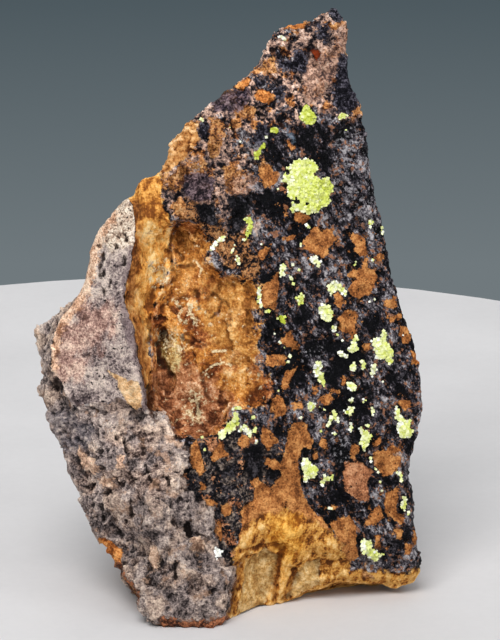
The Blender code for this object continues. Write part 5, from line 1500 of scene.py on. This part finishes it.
def foot_rock(f):
    """The golden ochre underside, with darker bands and tan scoops."""
    fine = f.sand(0.4)
    bands = f.total(
        f.noise(1.0, 6.0, 0.68, FOOT_BANDS, FOOT_TURN, 16.0), fine, f.dips(0.7), f.bowls(0.2))
    colour = f.ramp(bands, [
        (0.39, 88, 48, 20), (0.45, 150, 90, 36), (0.52, 196, 138, 64),
        (0.60, 213, 162, 90), (0.70, 230, 190, 128)])
    tan = f.ramp(f.total(f.noise(1.0, 6.0, 0.72, seed=9.0), fine), [
        (0.38, 150, 106, 56), (0.5, 204, 162, 98), (0.62, 232, 200, 146)])
    colour = f.blend(f.both(f.zone("scoop", 0.3, FINE, 0.12), 0.85), colour, tan)
    honey = f.ramp(bands, [
        (0.40, 150, 84, 22), (0.50, 202, 134, 46), (0.62, 234, 176, 82)])
    return f.blend(f.both(f.zone("honey", 0.9, WIDE, 0.7), 0.8), colour, honey)


def grey_grains(f):
    """Sandy rock of fine dark and grey grains, browner in places."""
    level = f.total(
        0.5, f.swing(f.noise(1.6, 7.0, 0.78, seed=24.0), 0.45), f.grains(0.1), f.dust(0.4),
        f.drift(0.7), f.bowls(0.25), f.dips(0.45))
    grey = f.ramp(level, [
        (0.34, 56, 49, 48), (0.42, 104, 92, 90), (0.50, 142, 127, 122),
        (0.58, 170, 152, 144), (0.72, 208, 189, 176)])
    sandy = f.ramp(level, [
        (0.34, 64, 50, 46), (0.42, 120, 100, 92), (0.50, 158, 136, 124),
        (0.58, 186, 161, 145), (0.72, 216, 192, 172)])
    colour = f.blend(f.spots(3.0, 0.51, 0.05, 5.0, 27.0), grey, sandy)
    return f.blend(f.both(f.spots(1.8, 0.61, 0.03, 4.0, 29.0), 0.6), colour, tone(*TAN_GRAIN))


def foliated_rock(f):
    """Thin dark and blue-grey layers at the left of the grey mass."""
    layers = f.total(
        f.noise(0.8, 5.0, 0.65, LAYERS, LAYERS_TURN, 26.0), f.grains(0.12), f.dips(0.4))
    return f.ramp(layers, [
        (0.38, 52, 50, 58), (0.48, 104, 99, 104), (0.57, 144, 134, 136),
        (0.70, 190, 176, 164)])


def plate_rock(f):
    """The grey plate with its pink flush, peach rim, cream top and cream tip, with painted shade along
    its right edge and in its small vugs.
    """
    streaked = f.noise(0.8, 6.0, 0.70, PLATE_STREAKS, PLATE_TURN, 20.0)
    grit = f.dust(0.45)
    level = f.total(
        0.5, f.swing(streaked, 0.6), grit, f.grains(0.12), f.drift(-0.9), f.dips(0.6))
    colour = f.ramp(level, [
        (0.36, 72, 61, 62), (0.44, 128, 113, 110), (0.51, 162, 145, 140),
        (0.58, 184, 166, 157), (0.70, 214, 195, 182)])
    pink = f.ramp(level, [
        (0.36, 136, 100, 90), (0.45, 180, 140, 126), (0.53, 206, 166, 148),
        (0.66, 234, 202, 180)])
    streaks = f.noise(1.6, 5.0, 0.6, FLUSH_STREAKS, PLATE_TURN, 21.0)
    flush = f.total(f.value("pink"), f.swing(streaks, 9.0))
    colour = f.blend(f.both(f.fit(flush, -1.9, 0.5), 0.85), colour, pink)
    # Painted shade along the plate's right edge.
    edge_shade = f.total(f.value("edge_shade"), f.swing(f.noise(1.2, 6.0, 0.7), 4.0))
    colour = f.blend(f.both(f.fit(edge_shade, -0.8, 0.3), 0.7), colour, tone(*EDGE_SHADE_TONE))
    cream = f.ramp(f.total(0.5, grit, f.swing(streaked, 0.7), f.dips(0.6)), [
        (0.34, 84, 66, 58), (0.42, 168, 140, 120), (0.50, 216, 190, 166),
        (0.60, 244, 228, 208)])
    colour = f.blend(f.both(f.zone("vuggy", 0.9, FINE, 0.5), 0.9), colour, cream)
    # Painted shade in small vugs outside the pink flush.
    vugs = f.both(f.spots(0.6, 0.63, 0.02, 4.0, 5.0), f.fit(f.value("pink"), -0.2, -1.0))
    colour = f.blend(vugs, colour, tone(*VUG_SHADE))
    peach = f.ramp(level, [
        (0.36, 158, 112, 86), (0.50, 224, 178, 146), (0.64, 246, 214, 186)])
    colour = f.blend(f.zone("peach", 0.9, FINE, 0.3, 0.1), colour, peach)
    tip = f.ramp(f.noise(1.0, 6.0, 0.72, seed=9.0), [
        (0.36, 150, 106, 68), (0.48, 216, 170, 120), (0.62, 240, 208, 166)])
    return f.blend(f.zone("cream_tip", 0.3, FINE, 0.1), colour, tip)


def side_rock(f, grey, granular, coat):
    """The broken sides and the back: granular and grey rock, limonite stains and some black coat."""
    level = f.total(f.noise(1.9, 7.0, 0.72, seed=8.0), f.dust(0.5), f.dips(0.5))
    stain = f.ramp(level, [
        (0.36, 84, 48, 30), (0.44, 142, 90, 52), (0.53, 182, 126, 76),
        (0.66, 216, 170, 120)])
    wide = f.noise(7.0, 7.0, 0.6, seed=31.0)
    other = f.noise(6.0, 7.0, 0.6, seed=34.0)
    ragged = f.swing(f.noise(1.2, 6.0, 0.7), 0.35)
    colour = f.blend(f.fit(wide, 0.42, 0.56), granular, grey)
    colour = f.blend(f.both(f.fit(f.total(other, ragged), 0.47, 0.55), 0.9), colour, stain)
    return f.blend(f.fit(f.total(wide, f.swing(other, -0.5), ragged), 0.58, 0.61), colour, coat)


def small_grains(f, *stops):
    """Fine grains of the given colours, dark to light, as in the mixed parts of the face."""
    return f.ramp(f.total(f.noise(1.2, 6.0, 0.7), f.sand(0.45)), stops)


def skin_finish():
    """The finish of the whole stone, laid over itself zone by zone."""
    f = Finish("stained_host_rock")
    golden = limonite(f, (104, 60, 32), (166, 104, 56), (202, 142, 84))
    pinkish = limonite(f, (112, 68, 46), (172, 112, 76), (206, 150, 110))
    brown = f.blend(f.zone("rosy", 0.5, WIDE, 0.3), golden, pinkish)
    orange = limonite(f, (124, 66, 28), (188, 114, 56), (222, 156, 92))
    grey = grey_grains(f)
    coat = black_coat(f)
    grains_above = granular_rock(f)
    granular = f.blend(f.spots(2.4, 0.56, 0.02, 6.0, 40.0), grains_above, coat)
    mixed = f.total(f.noise(1.9, 7.0, 0.72, seed=8.0), f.sand(0.25))
    dark_grains = small_grains(f, (0.45, 8, 8, 11), (0.54, 40, 36, 40), (0.64, 98, 89, 90))
    drab = small_grains(f, (0.43, 36, 31, 31), (0.51, 98, 86, 79), (0.61, 148, 131, 118))
    mottle = f.blend(f.spots(0.9, 0.53, 0.03, 6.0, 41.0), dark_grains, drab)
    mottle = f.blend(f.fit(mixed, 0.565, 0.59), mottle, pinkish)
    near_brown = f.both(f.math("SUBTRACT", f.noise(0.9, 6.0, 0.72, seed=41.0), 0.60), 9.0)
    islands = f.fit(f.total(near_brown, f.both(f.value("limonite"), 0.25)), -0.05, 0.08)
    burnt = small_grains(f, (0.43, 16, 14, 18), (0.48, 78, 58, 48), (0.52, 146, 98, 62),
                         (0.58, 176, 120, 74), (0.70, 208, 162, 116))
    purple = small_grains(f, (0.42, 20, 17, 24), (0.50, 62, 50, 60), (0.60, 124, 105, 111))
    ochre = small_grains(f, (0.42, 74, 42, 26), (0.48, 150, 94, 50), (0.55, 188, 128, 72),
                         (0.66, 218, 168, 116))
    blush = small_grains(f, (0.42, 80, 60, 56), (0.48, 154, 114, 96), (0.55, 192, 148, 124),
                         (0.66, 220, 184, 162))
    buff = small_grains(f, (0.40, 132, 98, 78), (0.48, 192, 154, 128), (0.55, 216, 178, 150),
                        (0.66, 236, 206, 180))
    ember = small_grains(f, (0.42, 62, 36, 28), (0.50, 130, 80, 56), (0.60, 176, 112, 78))
    slate = small_grains(f, (0.44, 14, 13, 19), (0.52, 36, 34, 43), (0.62, 98, 94, 104))
    pitch = small_grains(f, (0.46, 5, 5, 7), (0.54, 19, 17, 21), (0.64, 66, 62, 66))
    # Painted glints: pale specks in the sheen zones.
    painted_glints = f.both(f.spots(0.5, 0.57, 0.02, 4.0, 7.0), f.zone("painted_sheen", 0.9, WIDE, 0.3))

    # Each row: where it lies, its colour, its roughness and how strong its grains are. A row covers
    # the ones before it, and the coat is under them all.
    colour, rough, grains = coat, 0.42, 0.7
    for share, paint, dull, grainy in (
        (islands, brown, 0.8, 0.6),
        (f.zone("granular", 0.9, WIDE, 0.2), granular, 0.7, 0.9),
        (f.both(f.zone("ochre", 0.7, WIDE, 0.15), 0.9), ochre, 0.75, 0.8),
        (f.both(f.zone("blush", 0.9, FINE, 0.3), 0.7), blush, 0.75, 0.8),
        (f.both(f.zone("purple", 0.5, FINE, 0.15), 0.92), purple, 0.6, 0.8),
        (f.zone("slate", 0.6, FINE, 0.1), slate, 0.45, 0.8),
        (f.zone("burnt", 0.8, WIDE, 0.15), burnt, 0.7, 0.9),
        # Painted glints.
        (f.both(painted_glints, 0.6), tone(156, 152, 156), 0.4, 0.8),
        (f.zone("mottled", 0.9, WIDE, 0.1), mottle, 0.6, 0.8),
        (f.zone("pitch", 0.9, WIDE, 0.12), pitch, 0.4, 0.7),
        (f.zone("limonite", 0.35, FINE, 0.04), brown, 0.85, 0.45),
        (f.zone("hollow", 1.5, WIDE, 0.3), hollow_rock(f), 0.75, 0.65),
        (f.zone("corner", 0.7, WIDE, 0.12), corner_rock(f), 0.8, 0.6),
        (f.zone("wall", 0.7, WIDE, 0.15), wall_rock(f), 0.8, 0.5),
        (f.zone("foot", 0.9, WIDE, 0.3), foot_rock(f), 0.75, 0.45),
        (f.zone("rough", 1.1, WIDE, 0.35), grey, 0.88, 0.95),
        (f.both(f.zone("foliated", 0.9, WIDE, 0.4), 0.7), foliated_rock(f), 0.8, 0.8),
        (f.both(f.zone("tan", 0.5, FINE, 0.1), 0.9), buff, 0.85, 0.6),
        (f.zone("lump", 0.3, FINE, 0.1), grey, 0.88, 0.9),
        (f.zone("plate", 0.12, FINE, 0.04), plate_rock(f), 0.82, 0.8),
        # Painted shade in the pits.
        (f.both(f.zone("shaded_pit", 0.5, FINE, 0.12), 0.85), tone(34, 25, 22), 0.9, 0.6),
        (f.zone("orange", 0.35, FINE, 0.08), orange, 0.75, 0.5),
        (f.zone("ember", 0.5, FINE, 0.2), ember, 0.75, 0.6),
        (f.zone("red", 0.3, FINE, 0.1), tone(120, 44, 12), 0.4, 0.4),
        (f.zone("vein", 0.25, FINE, 0.06), tone(232, 208, 164), 0.7, 0.6),
        # Painted highlight along the ridges.
        (f.both(f.zone("ridge", 0.2, FINE, 0.06), 0.75), tone(122, 118, 128), 0.5, 0.6),
        # Painted highlight on the bevel.
        (f.both(f.zone("bevel_highlight", 0.5, FINE, 0.08), 0.6), tone(100, 116, 132), 0.4, 0.6),
        (f.both(f.zone("groove", 0.8, FINE, 0.4), 0.5), tone(118, 66, 26), 0.75, 0.5),
        # Painted shade in the deep pockets.
        (f.both(f.zone("deep", 0.5, FINE, 0.25), 0.85), tone(48, 30, 18), 0.8, 0.6),
        (f.both(f.zone("crack", 0.7, FINE, 0.15), 0.7), tone(72, 36, 18), 0.8, 0.5),
        (f.fit(f.total(f.value("behind"), f.drift(9.0), f.swing(f.noise(1.2, 6.0, 0.7), 4.0)),
               *SIDE_FINISH),
         side_rock(f, grey, grains_above, coat), 0.84, 0.8),
    ):
        colour = f.blend(share, colour, paint)
        rough = f.mix(share, rough, dull)
        grains = f.mix(share, grains, grainy)
    # The grains' own relief, the painted shade and light of the grains, and the painted shade that dips
    # and bowls lie in, with painted light where the relief stands out.
    grit = f.total(f.both(f.noise(0.24, 2.0), 0.6), f.both(f.noise(0.6, 4.0, 0.68, seed=51.0), 0.4))
    grain_light_and_shade = f.total(0.5, f.both(f.fit(grit, 0.36, 0.50), 0.46), f.both(f.fit(grit, 0.50, 0.66), 0.35))
    relief_light_and_shade = f.total(0.62, f.both(f.fit(f.value("dip"), -0.14, 0.02), 0.35),
                      f.both(f.fit(f.value("dip"), 0.02, 0.16), 0.22),
                      f.both(f.fit(f.value("bowl"), -0.3, 0.02), 0.12))
    bump = f.node("Bump", {"Height": f.both(grit, grains), "Distance": STONE_BUMP, "Strength": 1.0})
    # Painted light and painted shade of the wide patches.
    patch_light_and_shade = f.total(1.0, f.both(f.fit(f.value("lighter"), -1.5, 1.0), PAINTED_LIGHT_SHARE),
                  f.both(f.fit(f.value("darker"), -1.5, 1.0), PAINTED_SHADE_SHARE))
    # Painted shade and light of the grains, the relief and the wide patches, multiplied into the colour.
    shade = f.both(f.both(f.mix(grains, 1.0, grain_light_and_shade), relief_light_and_shade), patch_light_and_shade)
    f.feed(f.shader.inputs["Base Color"], f.shaded(colour, shade))
    f.feed(f.shader.inputs["Roughness"], rough)
    f.feed(f.shader.inputs["Normal"], bump.outputs[0])
    f.feed(f.shader.inputs["Specular IOR Level"], 0.08)
    return f.material


def crystal_finish():
    """Yellow-green tablets, paler where they are thin, and paler towards a crust's left as painted
    light.
    """
    f = Finish("autunite_crystals")
    level = f.total(f.value("shade"), f.swing(f.noise(0.6, 4.0, 0.6), 1.3))
    colour = f.ramp(level, [
        (0.0, 252, 252, 244), (0.25, 240, 242, 194), (0.5, 226, 232, 144),
        (0.8, 210, 218, 92), (1.0, 184, 194, 54)])
    grain = f.node("Bump", {"Height": f.noise(0.12, 2.0), "Distance": TABLET_BUMP, "Strength": 0.6})
    f.feed(f.shader.inputs["Base Color"], colour)
    f.feed(f.shader.inputs["Roughness"], 0.36)
    f.feed(f.shader.inputs["Normal"], grain.outputs[0])
    return f.material


# The pale floor, in metres: how far it reaches to each side and to the front, in how many columns
# to a side, and its far edge, which curves forward round EDGE_MIDDLE and then runs on straight.
FLOOR_REACH = 0.6
FLOOR_COLUMNS = 60
EDGE_MIDDLE = -0.0075
EDGE_FAR = 0.149
EDGE_RADIUS = 0.085
EDGE_CURVE = 0.07
EDGE_SLOPE = 0.4


def floor_edge(x):
    """How far back the floor reaches at a place across."""
    off = min(abs(x - EDGE_MIDDLE), EDGE_CURVE)
    rest = abs(x - EDGE_MIDDLE) - off
    return EDGE_FAR - off * off / (2.0 * EDGE_RADIUS) - EDGE_SLOPE * rest


def make_floor():
    """The floor: one flat strip of wide faces, kept out of the part itself."""
    f = Finish("pale_floor")
    level = f.total(f.noise(30.0, 3.0), f.swing(f.noise(1.2, 3.0), 0.25))
    colour = f.ramp(level, [(0.3, 207, 204, 204), (0.7, 217, 214, 214)])
    f.feed(f.shader.inputs["Base Color"], colour)
    f.feed(f.shader.inputs["Roughness"], 0.9)
    columns = [FLOOR_REACH * (k / FLOOR_COLUMNS - 1.0) for k in range(2 * FLOOR_COLUMNS + 1)]
    near_edge = [(x, -FLOOR_REACH, 0.0) for x in columns]
    far_edge = [(x, floor_edge(x), 0.0) for x in columns]
    count = len(columns)
    faces = [(k, k + 1, count + k + 1, count + k) for k in range(count - 1)]
    mesh = bpy.data.meshes.new("floor")
    mesh.from_pydata(near_edge + far_edge, [], faces)
    mesh.materials.append(f.material)
    piece = linked("floor", mesh)


# The backdrop's tones at two heights of the line of sight.
BACKDROP = ((-0.262, (112, 121, 125)), (-0.196, (76, 88, 94)))


def make_world():
    """The grey-green backdrop, a little darker higher up."""
    world = bpy.data.worlds.new("backdrop")
    bpy.context.scene.world = world
    world.use_nodes = True
    nodes = world.node_tree.nodes
    links = world.node_tree.links
    height = nodes.new("ShaderNodeSeparateXYZ")
    links.new(nodes.new("ShaderNodeTexCoord").outputs["Generated"], height.inputs[0])
    ramp = nodes.new("ShaderNodeValToRGB")
    shift = nodes.new("ShaderNodeMath")
    shift.operation = "ADD"
    shift.inputs[1].default_value = 0.5
    links.new(height.outputs["Z"], shift.inputs[0])
    links.new(shift.outputs[0], ramp.inputs["Fac"])
    for point, (level, colour) in zip(ramp.color_ramp.elements, BACKDROP):
        point.position = 0.5 + level
        point.color = tone(*colour)
    links.new(ramp.outputs["Color"], nodes["Background"].inputs["Color"])
    nodes["Background"].inputs["Strength"].default_value = 1.0


def aimed(name, data, place, target):
    """A light or the camera at a place, turned towards a target."""
    obj = linked(name, data)
    obj.location = place
    obj.rotation_euler = (Vector(target) - Vector(place)).to_track_quat("-Z", "Y").to_euler()
    return obj


# Square soft lights that face the middle of the specimen: place and side in metres, and power in
# watts.
LIGHTS = {
    "key": ((-0.22, -0.8, 1.1), 0.75, 16.5),
    "fill": ((0.8, -0.8, 0.56), 1.3, 5.6),
    "overhead": ((0.1, 0.35, 1.4), 1.6, 6.2),
    "behind": ((-0.35, 1.0, 0.7), 1.2, 3.0),
}
SPECIMEN_MIDDLE = (0.0, 0.0, 0.035)
# The camera: its focal length and sensor in millimetres, and how far it sees in metres.
FOCAL_LENGTH = 225.0
SENSOR_WIDTH = 36.0
FAR_CLIP = 10.0


def make_stage():
    """The camera, the floor, the backdrop and the lights."""
    camera = bpy.data.cameras.new("camera")
    camera.sensor_width = SENSOR_WIDTH
    camera.lens = FOCAL_LENGTH
    camera.clip_end = FAR_CLIP
    bpy.context.scene.camera = aimed("camera", camera, EYE, AIM)
    make_floor()
    make_world()
    for name, (place, side, power) in LIGHTS.items():
        lamp = bpy.data.lights.new(name, "AREA")
        lamp.shape = "SQUARE"
        lamp.size = side
        lamp.energy = power
        aimed(name, lamp, place, SPECIMEN_MIDDLE)
    bpy.context.scene.view_settings.view_transform = "Standard"


bpy.ops.object.select_all(action="DESELECT")
make_stage()
stone = rock_skin()
crystals(stone)
